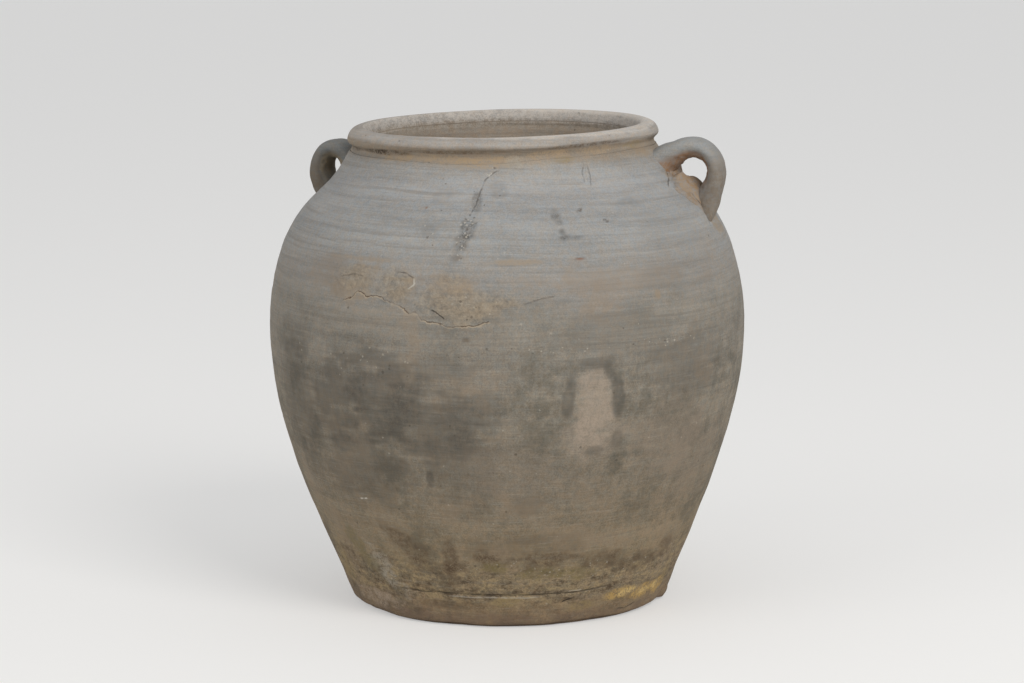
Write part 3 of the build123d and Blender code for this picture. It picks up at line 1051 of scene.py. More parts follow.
@dataclass
class TurnedRing:
    """One turned ring of the body: its name, slot and half-section, from its lower joint round."""

    node: str
    slot: str
    stretches: list[Stretch]
    surface: BodySurface
    closed_on_axis: bool = False

    FRONT_STEP = 0.32
    BACK_STEP = 0.62
    FRONT_HALF = 62.0
    FRONT_MIDDLE = VIEW_BEARING
    JOINT_EPS = 1e-7

    def bearings(self) -> Array:
        """Bearings of the mesh columns, closer together at the jar's front.

        Returns:
            Bearings once round.
        """
        front = np.arange(-self.FRONT_HALF, self.FRONT_HALF, self.FRONT_STEP)
        back_span = 360.0 - 2 * self.FRONT_HALF
        count = round(back_span / self.BACK_STEP)
        back = self.FRONT_HALF + np.arange(count) * back_span / count
        return self.FRONT_MIDDLE + np.concatenate([front, back])

    def rows(self) -> tuple[Array, Array, list[Side]]:
        """Points, normals and faces' sides of the half-section, each corner once.

        Returns:
            The points, their normals and their sides.
        """
        points, normals, sides = [], [], []
        for stretch in self.stretches:
            line = stretch.points
            outward = outward_normals(line)
            start = 1 if points and np.allclose(points[-1], line[0], atol=self.JOINT_EPS) else 0
            points.extend(line[start:])
            normals.extend(outward[start:])
            sides.extend([stretch.side] * (len(line) - start))
        if np.allclose(points[0], points[-1], atol=self.JOINT_EPS):
            points, normals, sides = points[:-1], normals[:-1], sides[:-1]
        return np.array(points), np.array(normals), sides

    def build(self) -> bpy.types.Object:
        """Make the ring's mesh.

        Returns:
            The new object.
        """
        half, normals, sides = self.rows()
        bearings = self.bearings()
        columns = len(bearings)
        turn = np.radians(bearings)
        out = np.column_stack([np.sin(turn), -np.cos(turn)])
        radius = np.repeat(half[:, 0], columns)
        level = np.repeat(half[:, 1], columns)
        around = np.tile(out, (len(half), 1))
        all_bearings = np.tile(bearings, len(half))
        points = np.column_stack([around * radius[:, None], level])
        kind = np.repeat(np.array([side.value for side in sides]), columns)
        offset = np.zeros(len(points))
        paint = Paint.bare(len(points))
        shown = kind == Side.OUTSIDE.value
        places = Places(points[shown], all_bearings[shown], level[shown])
        paint_here = self.surface.paint(places)
        for name in ("stain", "line", "flake", "grit", "scaled"):
            getattr(paint, name)[shown] = getattr(paint_here, name)
        offset[shown] = self.surface.relief(places)
        hidden = kind == Side.INSIDE.value
        offset[hidden] = self.surface.inner_relief(points[hidden])
        paint.inside[hidden] = smooth_step(0.351, 0.34, level[hidden])
        # Painted light on the inner wall just under the lip: a pale tone that grows towards the top.
        paint.stain[hidden] = (*INNER_LIP_LIGHT, 0.0)
        paint.stain[hidden, 3] = 0.6 * smooth_step(0.343, 0.3575, level[hidden])
        direction = np.repeat(normals, columns, axis=0)
        push = np.column_stack([around * direction[:, :1], direction[:, 1]])
        points = self.surface.tilt(points + push * offset[:, None])
        points[:, 2] = np.maximum(points[:, 2], 0.0)
        return self.finish_mesh(points, len(half), columns, paint)

    def finish_mesh(self, points: Array, rows: int, columns: int, paint: Paint) -> bpy.types.Object:
        """Close the mesh and set it in the place of its solid.

        Args:
            points: All vertices, row by row.
            rows: Number of rows.
            columns: Points in each row.
            paint: What the shader reads.

        Returns:
            The finished object.
        """
        faces = grid_faces(rows, columns, wrap_rows=not self.closed_on_axis)
        if self.closed_on_axis:
            points, faces = capped(points, faces, rows, columns)
            for name in ("stain", "line", "flake", "grit", "scaled", "inside"):
                values = getattr(paint, name)
                setattr(paint, name, np.concatenate([values, values[:1], values[-1:]]))
        piece = MeshPiece.make(f"{self.node}_clay", points, faces, paint)
        settle(piece, self.node)
        return piece


def settle(piece: bpy.types.Object, node: str) -> None:
    """Let a piece stand for its solid and ride the jar.

    Args:
        piece: The finished piece.
        node: Name of the solid that it replaces.
    """
    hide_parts(node)
    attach(piece, BODY)
    LOG.info("%s: %d faces, replaces %s", piece.name, len(piece.data.polygons), node)


@dataclass
class TurnedBody:
    """The five turned rings: pan, lower and upper wall, collar and lip."""

    profile: JarProfile
    surface: BodySurface
    row_step: float = 1.5 * MM
    lower_row_step: float = 2.0 * MM
    inner_row_step: float = 8.0 * MM
    fine_row_step: float = 0.8 * MM

    def joint_below(self, level: float) -> tuple[Point, Point]:
        """Outer and inner end of the bevelled joint that meets the outside at a height.

        Args:
            level: Height on the outside.

        Returns:
            Both ends as radius and height.
        """
        radius = float(self.surface.outer.radius_at(np.array([level]))[0])
        width = self.profile.wall / self.surface.outer.body_normal(level)[0]
        return (radius, level), (radius - width, level - self.profile.joint_fall)

    def inner_between(self, top: Point, bottom: Point) -> Array:
        """Inside of the wall from one joint's inner end down to the next one's.

        Args:
            top: Inner end of the joint above.
            bottom: Inner end of the joint below.

        Returns:
            Points with falling height.
        """
        line = self.profile.inner_line()
        keep = line[(line[:, 1] < top[1] - 1e-6) & (line[:, 1] > bottom[1] + 1e-6)]
        return even_points(np.vstack([[top], keep, [bottom]]), self.inner_row_step)

    def outer_between(self, low: float, high: float, step: float) -> Array:
        """Outside of the body between two heights."""
        return even_points(cut_line(self.surface.outer.body, low, high), step)

    def base_pan(self) -> TurnedRing:
        """Flat disc with its edge turned up to the base joint.

        Returns:
            The ring.
        """
        p = self.profile
        joint_out, joint_in = self.joint_below(p.base_joint)
        body = self.surface.outer.body
        slope = math.degrees(math.atan2(body[20, 1] - body[0, 1], body[20, 0] - body[0, 0]))
        reach = p.foot_round * math.tan(math.radians(90 - slope / 2))
        centre = (p.foot_radius - reach, p.foot_round)
        edge = ellipse_arc(centre, (p.foot_round, p.foot_round), -90, slope - 90, 10)
        under = even_points(np.array([(8 * MM, 0.0), edge[0]]), 9 * MM)
        wall = even_points(cut_line(body, float(edge[-1, 1]), p.base_joint), self.row_step)
        wall[0] = edge[-1]
        floor_edge = (joint_in[0] - p.floor_round, p.floor)
        middle = (joint_in[0] - 0.4 * p.floor_round, p.floor + 0.3 * (joint_in[1] - p.floor))
        bend = CubicCurve([joint_in, middle, floor_edge]).sample(8)
        floor = even_points(np.array([floor_edge, (8 * MM, p.floor)]), 9 * MM)
        stretches = [
            Stretch(under, Side.UNDERSIDE),
            Stretch(np.vstack([edge, wall[1:]]), Side.OUTSIDE),
            Stretch(np.array([joint_out, joint_in]), Side.JOINT),
            Stretch(np.vstack([bend, floor[1:]]), Side.INSIDE),
        ]
        return TurnedRing("base_pan", "foot_clay", stretches, self.surface, closed_on_axis=True)

    def lower_wall(self) -> TurnedRing:
        """Lower half of the body, between the base joint and the belly joint.

        Returns:
            The ring.
        """
        p = self.profile
        low_out, low_in = self.joint_below(p.base_joint)
        high_out, high_in = self.joint_below(p.belly_joint)
        stretches = [
            Stretch(self.outer_between(p.base_joint, p.belly_joint, self.lower_row_step), Side.OUTSIDE),
            Stretch(np.array([high_out, high_in]), Side.JOINT),
            Stretch(self.inner_between(high_in, low_in), Side.INSIDE),
            Stretch(np.array([low_in, low_out]), Side.JOINT),
        ]
        return TurnedRing("lower_wall", "lower_clay", stretches, self.surface)

    def upper_wall(self) -> TurnedRing:
        """Upper half of the body and the shoulder, up to the step under the neck.

        Returns:
            The ring.
        """
        p = self.profile
        low_out, low_in = self.joint_below(p.belly_joint)
        edge = (p.neck_foot + p.neck_step, p.neck_edge)
        throat = p.throat_foot
        stretches = [
            Stretch(self.outer_between(p.belly_joint, p.neck_edge, self.row_step), Side.OUTSIDE),
            Stretch(np.array([edge, throat]), Side.JOINT),
            Stretch(self.inner_between(throat, low_in), Side.INSIDE),
            Stretch(np.array([low_in, low_out]), Side.JOINT),
        ]
        return TurnedRing("upper_wall", "upper_clay", stretches, self.surface)

    def neck_collar(self) -> TurnedRing:
        """Concave collar with the lower part of the throat.

        Returns:
            The ring.
        """
        p = self.profile
        throat = cut_line(p.throat_line()[::-1], p.throat_foot[1], p.lip_joint)[::-1]
        neck = even_points(p.neck_line(), self.fine_row_step)
        stretches = [
            Stretch(neck, Side.OUTSIDE),
            Stretch(np.array([neck[-1], throat[0]]), Side.JOINT),
            Stretch(even_points(throat, self.fine_row_step), Side.INSIDE),
            Stretch(np.array([throat[-1], neck[0]]), Side.JOINT),
        ]
        return TurnedRing("neck_collar", "neck_clay", stretches, self.surface)

    def rim_roll(self) -> TurnedRing:
        """Rolled lip with the top of the throat.

        Returns:
            The ring.
        """
        p = self.profile
        outside = even_points(p.lip_line(), self.fine_row_step)
        inside = cut_line(p.throat_line()[::-1], p.lip_joint, p.height)[::-1]
        stretches = [
            Stretch(outside, Side.OUTSIDE),
            Stretch(even_points(inside, self.fine_row_step), Side.INSIDE),
            Stretch(np.array([inside[-1], outside[0]]), Side.JOINT),
        ]
        return TurnedRing("rim_roll", "lip_clay", stretches, self.surface)

    def build(self) -> list[bpy.types.Object]:
        """Make all five rings, from the foot up.

        Returns:
            The new objects.
        """
        rings = [self.base_pan(), self.lower_wall(), self.upper_wall(), self.neck_collar(), self.rim_roll()]
        return [ring.build() for ring in rings]


@dataclass
class StrapHandle:
    """A strap loop on the shoulder: its spine as mm out from the neck and up from the neck edge."""

    side: str
    bearing: float
    spine: tuple[Point, ...]
    surface: BodySurface
    seed: int
    width: float = 29.0 * MM
    thickness: float = 10.3 * MM
    inner_tone: Colour = RUST
    flare: float = 0.35
    flare_reach: float = 10.0 * MM
    bulge: float = 0.85
    root_web: float = 1.3
    foot_web: float = 1.5
    web_reach: float = 17.0 * MM
    buried: float = 6.0 * MM
    foot_tongue: float = 7.0 * MM
    foot_thinning: float = 13.0 * MM
    foot_drag: float = 0.0
    drag_reach: float = 13.0 * MM
    squareness: float = 2.5
    rows: int = 150
    columns: int = 72

    def frame_at(self) -> tuple[Array, Array]:
        """Unit vectors outwards and sideways at the handle's bearing."""
        outward = np.array([math.sin(math.radians(self.bearing)), -math.cos(math.radians(self.bearing)), 0.0])
        return outward, np.array([outward[1], -outward[0], 0.0])

    def spine_line(self) -> Array:
        """The strap's middle line, as radius and height.

        Returns:
            One row for each point.
        """
        p = self.surface.profile
        corners = [(p.neck_radius + out * MM, p.neck_edge + up * MM) for out, up in self.spine]
        line = even_points(CubicCurve(corners).sample(400), 1.0 * MM)
        return CubicCurve([tuple(q) for q in line]).sample(self.rows)

    def section(self) -> tuple[Array, Array]:
        """Places across and through the strap round its section, from -1/2 to 1/2.

        Returns:
            Both places for each column.
        """
        turn = np.linspace(0.0, 2 * math.pi, self.columns, endpoint=False)
        sides, power = (np.cos(turn), np.sin(turn)), 2.0 / self.squareness
        return tuple(np.sign(side) * np.abs(side) ** power / 2 for side in sides)

    def depths(self, places: Array, across: Array, through: Array) -> Array:
        """How far each point lies through the strap, with webs at both ends and a thin foot.

        Args:
            places: Length along the spine of each row.
            across: Place across the strap of each column.
            through: Place through the strap of each column.

        Returns:
            Depth in metres by row and column.
        """
        share = places / places[-1]
        left = places[-1] - places
        limb = smooth_step(0.45, 0.7, share) * 0.22
        foot = np.exp(-left / self.flare_reach) * 0.55
        thick = self.thickness * (1.0 + limb + foot + 0.2 * np.exp(-places / self.flare_reach))
        bulge = self.bulge * smooth_step(0.66, 0.42, share) + 0.1
        web = self.root_web * np.exp(-((places / self.web_reach) ** 2))
        web += self.foot_web * np.exp(-((left / self.web_reach) ** 2))
        inner = 1.0 + web[:, None] + bulge[:, None] * (1.0 - 4.0 * across**2)
        left_over = left[:, None] - self.foot_tongue * (2.0 * across) ** 2
        outer = 0.15 + 0.85 * smooth_step(-0.5 * self.foot_thinning, self.foot_thinning, left_over)
        return np.where(through > 0, through * inner, through * outer) * thick[:, None]

    def dragged(self, places: Array, across: Array, level: float) -> Array:
        """How far the foot's front edge is drawn down the shoulder at each point.

        Args:
            places: Length along the spine of each row.
            across: Place across the strap of each column.
            level: Height of the spine's lower end.

        Returns:
            A vector by row and column.
        """
        outward, _ = self.frame_at()
        normal = self.surface.outer.body_normal(level)
        downhill = normal[1] * outward - normal[0] * UP
        near_foot = np.exp(-(((places[-1] - places) / self.drag_reach) ** 2))
        drag = self.foot_drag * np.outer(near_foot, smooth_step(-0.2, 0.5, across))
        return drag[:, :, None] * downhill

    def build(self) -> bpy.types.Object:
        """Sweep the strap's section along its spine.

        Returns:
            The new object.
        """
        line = self.spine_line()
        normals = outward_normals(line)
        places = run_lengths(line)
        across, through = self.section()
        ends = np.exp(-places / self.flare_reach) + np.exp(-(places[-1] - places) / self.flare_reach)
        width = self.width * (1.0 + self.flare * ends)
        outward, sideways = self.frame_at()
        spine = line[:, :1] * outward + line[:, 1:] * UP
        facing = normals[:, :1] * outward + normals[:, 1:] * UP
        shell = (across[None, :, None] * width[:, None, None] * sideways
                 + self.depths(places, across, through)[:, :, None] * facing[:, None, :])
        away = shell / np.linalg.norm(shell, axis=2, keepdims=True)
        drag = self.dragged(places, across, float(line[-1, 1]))
        points = (spine[:, None, :] + shell + drag).reshape(-1, 3)
        noise = ClayNoise(self.seed)
        crumbs = np.tile(smooth_step(0.2, 0.4, through), self.rows) * noise.at(points / (3.5 * MM))
        lumps = 0.6 * noise.layered(points / (15 * MM), 2) + 0.2 * noise.at(points / (5 * MM)) + 0.6 * crumbs
        points = self.kept_in_wall(points + away.reshape(-1, 3) * lumps[:, None] * MM)
        faces = grid_faces(self.rows, self.columns, wrap_rows=False)
        points, faces = capped(points, faces, self.rows, self.columns)
        piece = MeshPiece.make(f"{self.side}_handle_clay", points, faces, self.paint(through, places))
        settle(piece, f"{self.side}_handle")
        return piece

    def kept_in_wall(self, points: Array) -> Array:
        """The strap's points, its buried ends moved outwards so that none shows inside the jar.

        Args:
            points: Points of the jar, one row each.

        Returns:
            The moved points.
        """
        least = self.surface.outer.radius_at(points[:, 2]) - self.buried
        grown = np.maximum(1.0, least / np.hypot(points[:, 0], points[:, 1]))
        return points * np.column_stack([grown, grown, np.ones(len(points))])

    def paint(self, through: Array, places: Array) -> Paint:
        """Rust inside the loop (on the left loop, a brown darkened as painted shade) and darker clay along
        the outer limb.

        Args:
            through: Section height of each column, positive on the side that faces the loop's gap.
            places: Length along the spine of each row.

        Returns:
            The values that the shader reads, with the two cap points last.
        """
        rows, columns = len(places), len(through)
        paint = Paint.bare(rows * columns + 2)
        share = places / places[-1]
        near_root = np.exp(-((places / self.web_reach) ** 2))[:, None]
        inner = smooth_step(0.0, 1.0, (through - 0.22 + 0.2 * near_root) / 0.2)
        inner_grid = (smooth_step(0.9, 0.6, share)[:, None] * inner).ravel()
        outer_grid = (smooth_step(0.42, 0.7, share)[:, None] * (1.0 - inner)).ravel()
        inner_wins = (inner_grid > outer_grid)[:, None]
        paint.stain[:-2, :3] = np.where(inner_wins, self.inner_tone, LIMB_BROWN)
        paint.stain[:-2, 3] = np.maximum(0.8 * inner_grid, 0.6 * outer_grid)
        return paint


@dataclass
class PressedWad:
    """Clay smeared over a strap's end: a low mound on the body, with an optional tail below."""

    side: str
    end: str
    bearing: float
    level: float
    half_width: float
    half_height: float
    rise: float
    tail: float
    tone: Colour
    surface: BodySurface
    seed: int
    spread: float = 1.55
    front_edge: float = 0.8
    front_rise: float = 0.18
    tone_strength: float = 0.75
    tail_taper: float = 0.55
    sink: float = 2.2 * MM
    columns: int = 84
    rows: int = 96

    def build(self) -> bpy.types.Object:
        """Raise the mound over a patch of the body and close it underneath.

        Returns:
            The new object.
        """
        outer = self.surface.outer
        middle_arc = float(outer.arc_at(np.array([self.level]))[0])
        across = np.linspace(-1, 1, self.columns) * self.half_width * self.spread
        low = -self.half_height * self.spread - self.tail
        along = np.linspace(low, self.half_height * self.spread, self.rows)
        a, b = np.meshgrid(across, along)
        levels = outer.level_at(middle_arc + b.ravel())
        radius = outer.radius_at(levels)
        swing = np.degrees(a.ravel() / radius)
        bearings = self.bearing + swing
        turn = np.radians(bearings)
        base = np.column_stack([radius * np.sin(turn), -radius * np.cos(turn), levels])
        normal = outer.body_normal(min(self.level, self.surface.profile.neck_edge - 2 * MM))
        middle_turn = math.radians(self.bearing)
        lift = np.array([normal[0] * math.sin(middle_turn), -normal[0] * math.cos(middle_turn), normal[1]])
        height, cover = self.mound(a.ravel(), b.ravel(), base)
        places = Places(base, bearings, levels)
        relief = self.surface.relief(places)
        top = base + lift * (height + relief)[:, None]
        bottom = base - lift * 3.0 * self.sink
        points = self.surface.tilt(np.vstack([top, bottom]))
        paint = self.paint(len(points), places, cover)
        piece = MeshPiece.make(f"{self.side}_{self.end}_wad_clay", points, self.faces(), paint)
        settle(piece, f"{self.side}_{self.end}_wad")
        return piece

    def mound(self, a: Array, b: Array, base: Array) -> tuple[Array, Array]:
        """Height of the mound over the body and where its clay covers the body.

        Args:
            a: Place across the patch.
            b: Place up the patch.
            base: Points of the patch on the smooth body.

        Returns:
            Height in metres and share of cover at each point.
        """
        noise = ClayNoise(self.seed)
        low_end = self.half_height + self.tail
        taper = 1.0 - self.tail_taper * smooth_step(0.0, 1.0, -b / low_end)
        fade = 0.12 + 0.88 * smooth_step(-low_end, -0.15 * self.half_height, b)
        reach = np.where(b < 0, low_end, self.half_height)
        far = np.sqrt((a / (self.half_width * taper)) ** 2 + (b / reach) ** 2)
        lumps = 1.0 + 0.12 * noise.layered(base / (14 * MM), 3)
        ragged = far + 0.1 * noise.layered(base / (9 * MM), 3)
        back = a * math.copysign(1.0, self.bearing) / self.half_width
        front = np.where(back < 0, self.front_edge, 0.4)
        step = smooth_step(0.0, 1.0, (1.12 - ragged) / (1.12 - front))
        ramp = self.front_rise + (1.0 - self.front_rise) * smooth_step(-0.75, 0.45, back)
        return (self.rise * ramp * fade + self.sink) * step * lumps - self.sink, smooth_step(0.2, 0.95, step)

    def faces(self) -> list:
        """Faces of the top, the underside and the rim between them.

        Returns:
            Four vertex numbers for each face.
        """
        count = self.rows * self.columns
        quads = []
        for row in range(self.rows - 1):
            for column in range(self.columns - 1):
                one = row * self.columns + column
                ring = [one, one + 1, one + self.columns + 1, one + self.columns]
                quads.append(ring)
                quads.append([count + v for v in reversed(ring)])
        border = list(range(self.columns))
        border += [row * self.columns + self.columns - 1 for row in range(1, self.rows)]
        border += [count - 1 - k for k in range(1, self.columns)]
        border += [row * self.columns for row in range(self.rows - 2, 0, -1)]
        for one, two in zip(border, border[1:] + border[:1]):
            quads.append([two, one, one + count, two + count])
        return quads

    def paint(self, count: int, places: Places, cover: Array) -> Paint:
        """The body's own stains carried over the mound, under the tone of the loop's inside: brown lightened
        as painted light on the right, darkened as painted shade on the left.

        Args:
            count: How many points the mesh has.
            places: Points on the jar.
            cover: Share of the wad's own clay at each point of its top.

        Returns:
            The values that the shader reads.
        """
        paint = Paint.bare(count)
        half = len(cover)
        body = self.surface.paint(places)
        cover = (self.tone_strength * cover)[:, None]
        body.stain[:, :3] = body.stain[:, :3] * (1.0 - cover) + np.array(self.tone) * cover
        body.stain[:, 3:] = np.maximum(body.stain[:, 3:], cover)
        paint.stain[:half], paint.line[:half], paint.grit[:half] = body.stain, body.line, body.grit
        return paint


NOISE_SPREAD = 0.12
Socket = bpy.types.NodeSocket
Value = Union[float, Colour, Socket]


class NodeSheet:
    """Nodes of a material or the world, with short calls for the kinds that clay is made of."""

    def __init__(self, owner: Union[bpy.types.Material, bpy.types.World]) -> None:
        """Start with no nodes.

        Args:
            owner: The material or world.
        """
        self.owner = owner
        owner.use_nodes = True
        self.tree = owner.node_tree
        self.tree.nodes.clear()

    def feed(self, socket: Socket, value: Value) -> None:
        """Link a socket to another one, or set it to a constant.

        Args:
            socket: Socket to fill.
            value: Another socket or a constant.
        """
        if isinstance(value, Socket):
            self.tree.links.new(value, socket)
        elif isinstance(value, tuple) and socket.type == "RGBA":
            socket.default_value = (*value[:3], 1.0)
        else:
            socket.default_value = value

    def node(self, kind: str, **settings: object) -> bpy.types.Node:
        """Add a node of a kind and set its options.

        Args:
            kind: Blender's name of the kind.
            settings: Options of the node.

        Returns:
            The node.
        """
        made = self.tree.nodes.new(kind)
        for key, value in settings.items():
            setattr(made, key, value)
        return made

    def calculated(self, kind: str, operation: str, values: Sequence[Value], **settings: object) -> Socket:
        """A calculation of a few values, with None for an input that it does not use.

        Args:
            kind: Blender's name of the node's kind.
            operation: Blender's name of the calculation.
            values: Its inputs.
            settings: Options of the node.

        Returns:
            The result.
        """
        made = self.node(kind, operation=operation, **settings)
        for socket, value in zip(made.inputs, values):
            if value is not None:
                self.feed(socket, value)
        return made.outputs[0]

    def math(self, operation: str, *values: Value, clamp: bool = False) -> Socket:
        """A calculation of numbers, kept from 0 to 1 on demand."""
        return self.calculated("ShaderNodeMath", operation, values, use_clamp=clamp)

    def vector(self, operation: str, *values: Value) -> Socket:
        """A calculation of colours or coordinates."""
        return self.calculated("ShaderNodeVectorMath", operation, values)

    def times(self, first: Value, second: Value, clamp: bool = False) -> Socket:
        """The product of two values."""
        return self.math("MULTIPLY", first, second, clamp=clamp)

    def plus(self, first: Value, second: Value, clamp: bool = False) -> Socket:
        """The sum of two values."""
        return self.math("ADD", first, second, clamp=clamp)

    def minus(self, first: Value, second: Value) -> Socket:
        """The first value less the second."""
        return self.math("SUBTRACT", first, second)

    def fused(self, value: Value, factor: Value, offset: Value) -> Socket:
        """A value times a factor, with an offset added."""
        return self.math("MULTIPLY_ADD", value, factor, offset)

    def blend(self, share: Value, first: Value, second: Value) -> Socket:
        """A mix of two colours.

        Args:
            share: Share of the second colour.
            first: First input.
            second: Second input.

        Returns:
            The result.
        """
        made = self.node("ShaderNodeMix", data_type="RGBA")
        self.feed(made.inputs[0], share)
        self.feed(made.inputs[6], first)
        self.feed(made.inputs[7], second)
        return made.outputs[2]

    def scaled(self, colour: Value, factor: Value) -> Socket:
        """A colour made darker or lighter by a factor."""
        return self.vector("SCALE", colour, None, None, factor)

    def product(self, first: Value, second: Value) -> Socket:
        """Two colours multiplied, or coordinates with each axis stretched on its own."""
        return self.vector("MULTIPLY", first, second)

    def swing(self, value: Value, amount: float) -> Socket:
        """A noise value turned into a swing about zero of about the given size."""
        return self.times(self.minus(value, 0.5), amount / NOISE_SPREAD)

    def noise(self, vector: Value, scale: float, detail: float = 3.0, roughness: float = 0.55) -> Socket:
        """Noise from 0 to 1.

        Args:
            vector: Position to read the pattern at.
            scale: Features per metre.
            detail: Finer layers.
            roughness: Strength of the finer layers.

        Returns:
            The result.
        """
        made = self.node("ShaderNodeTexNoise")
        inputs = (("Vector", vector), ("Scale", scale), ("Detail", detail), ("Roughness", roughness))
        for label, value in inputs:
            self.feed(made.inputs[label], value)
        return made.outputs["Fac"]

    def step(self, value: Value, low: float, high: float, floor: float = 0.0, top: float = 1.0) -> Socket:
        """A soft step of a value from one level to another.

        Args:
            value: Value to map.
            low: Value where the step starts.
            high: Value where it ends.
            floor: Result at the start.
            top: Result at the end.

        Returns:
            The result.
        """
        made = self.node("ShaderNodeMapRange", interpolation_type="SMOOTHSTEP")
        self.feed(made.inputs["Value"], value)
        for label, number in (("From Min", low), ("From Max", high), ("To Min", floor), ("To Max", top)):
            made.inputs[label].default_value = number
        return made.outputs["Result"]

    def tones(self, value: Value, stops: Sequence[tuple[float, Colour]]) -> Socket:
        """A run of colours along a value from 0 to 1.

        Args:
            value: Value to map.
            stops: Places and colours.

        Returns:
            The result.
        """
        made = self.node("ShaderNodeValToRGB")
        ramp = made.color_ramp
        while len(ramp.elements) < len(stops):
            ramp.elements.new(0.5)
        for element, (place, colour) in zip(ramp.elements, stops):
            element.position = place
            element.color = (*colour, 1.0)
        self.feed(made.inputs[0], value)
        return made.outputs["Color"]

    def attribute(self, name: str, output: str = "Fac") -> Socket:
        """A value that the mesh carries."""
        return self.node("ShaderNodeAttribute", attribute_name=name).outputs[output]

    def specks(self, vector: Value, scale: float, share: Value, size: float) -> Socket:
        """Small round specks in a share of the cells of a lattice.

        Args:
            vector: Position to read the pattern at.
            scale: Cells per metre.
            share: Share of cells with a speck.
            size: Largest speck, in cells.

        Returns:
            The result.
        """
        made = self.node("ShaderNodeTexVoronoi")
        self.feed(made.inputs["Vector"], vector)
        made.inputs["Scale"].default_value = scale
        parts = self.node("ShaderNodeSeparateColor")
        self.feed(parts.inputs[0], made.outputs["Color"])
        chosen = self.math("LESS_THAN", parts.outputs[0], share)
        reach = self.fused(parts.outputs[1], size, size * 0.3)
        dot = self.step(self.math("DIVIDE", made.outputs["Distance"], reach), 1.0, 0.6)
        return self.times(chosen, dot)

    def finish_by_ray(self, output: str, lighting: Socket, shown: Socket) -> None:
        """Light the jar with one shader, and show another to the camera, to mirrors and through glass.

        Args:
            output: Kind of the output node.
            lighting: Shader that lights the jar.
            shown: Shader that is seen.
        """
        rays = self.node("ShaderNodeLightPath").outputs
        seen = self.math("MAXIMUM", rays["Is Camera Ray"], rays["Is Glossy Ray"])
        seen = self.math("MAXIMUM", seen, rays["Is Transmission Ray"])
        mixed = self.node("ShaderNodeMixShader")
        for socket, value in zip(mixed.inputs, (seen, lighting, shown)):
            self.feed(socket, value)
        self.feed(self.node(output).inputs[0], mixed.outputs[0])


# Body tones by height in mm. The top stop is a painted highlight along the crest of the lip. The stops from
# 344 to 352 darken towards the lip, partly as painted shade under it. The lowest stops are lighter, partly as
# painted warm light bounced up from below.
BODY_TONES = (
    (0, linear(126, 107, 88)), (18, linear(130, 112, 88)), (30, linear(126, 111, 88)),
    (60, linear(131, 117, 95)), (120, linear(128, 118, 103)), (170, linear(130, 122, 109)),
    (208, linear(132, 125, 114)), (235, linear(135, 129, 119)), (262, linear(143, 138, 131)),
    (290, linear(150, 148, 144)), (326, linear(154, 152, 149)), (338.5, linear(151, 147, 141)),
    (341.5, linear(150, 140, 127)), (344, linear(150, 137, 121)), (350, linear(142, 129, 113)),
    (352, linear(138, 126, 112)), (353.6, linear(162, 154, 145)), (358.6, linear(170, 162, 153)),
    (360, linear(198, 189, 178)),
)


@dataclass(frozen=True)
class ClayFinish:
    """Unglazed clay: its tones by height and how strong each of its textures is."""

    name: str
    tones: tuple[tuple[float, Colour], ...] = BODY_TONES
    tone_span: float = 360.0
    streak: float = 0.04
    hatch: float = 0.05
    blotch: float = 0.085
    grain: float = 0.12
    breaking: float = 1.0
    roughness: float = 0.86
    shine: float = 0.28
    bump: float = 0.8
    bump_depth: float = 0.35 * MM
    cool_tint: Colour = (0.955, 1.005, 1.055)
    warm_tint: Colour = (1.045, 0.995, 0.945)
    inside_tone: Colour = linear(156, 142, 126)

    def material(self) -> bpy.types.Material:
        """The finish as a node material."""
        return ClayShader(self).build()


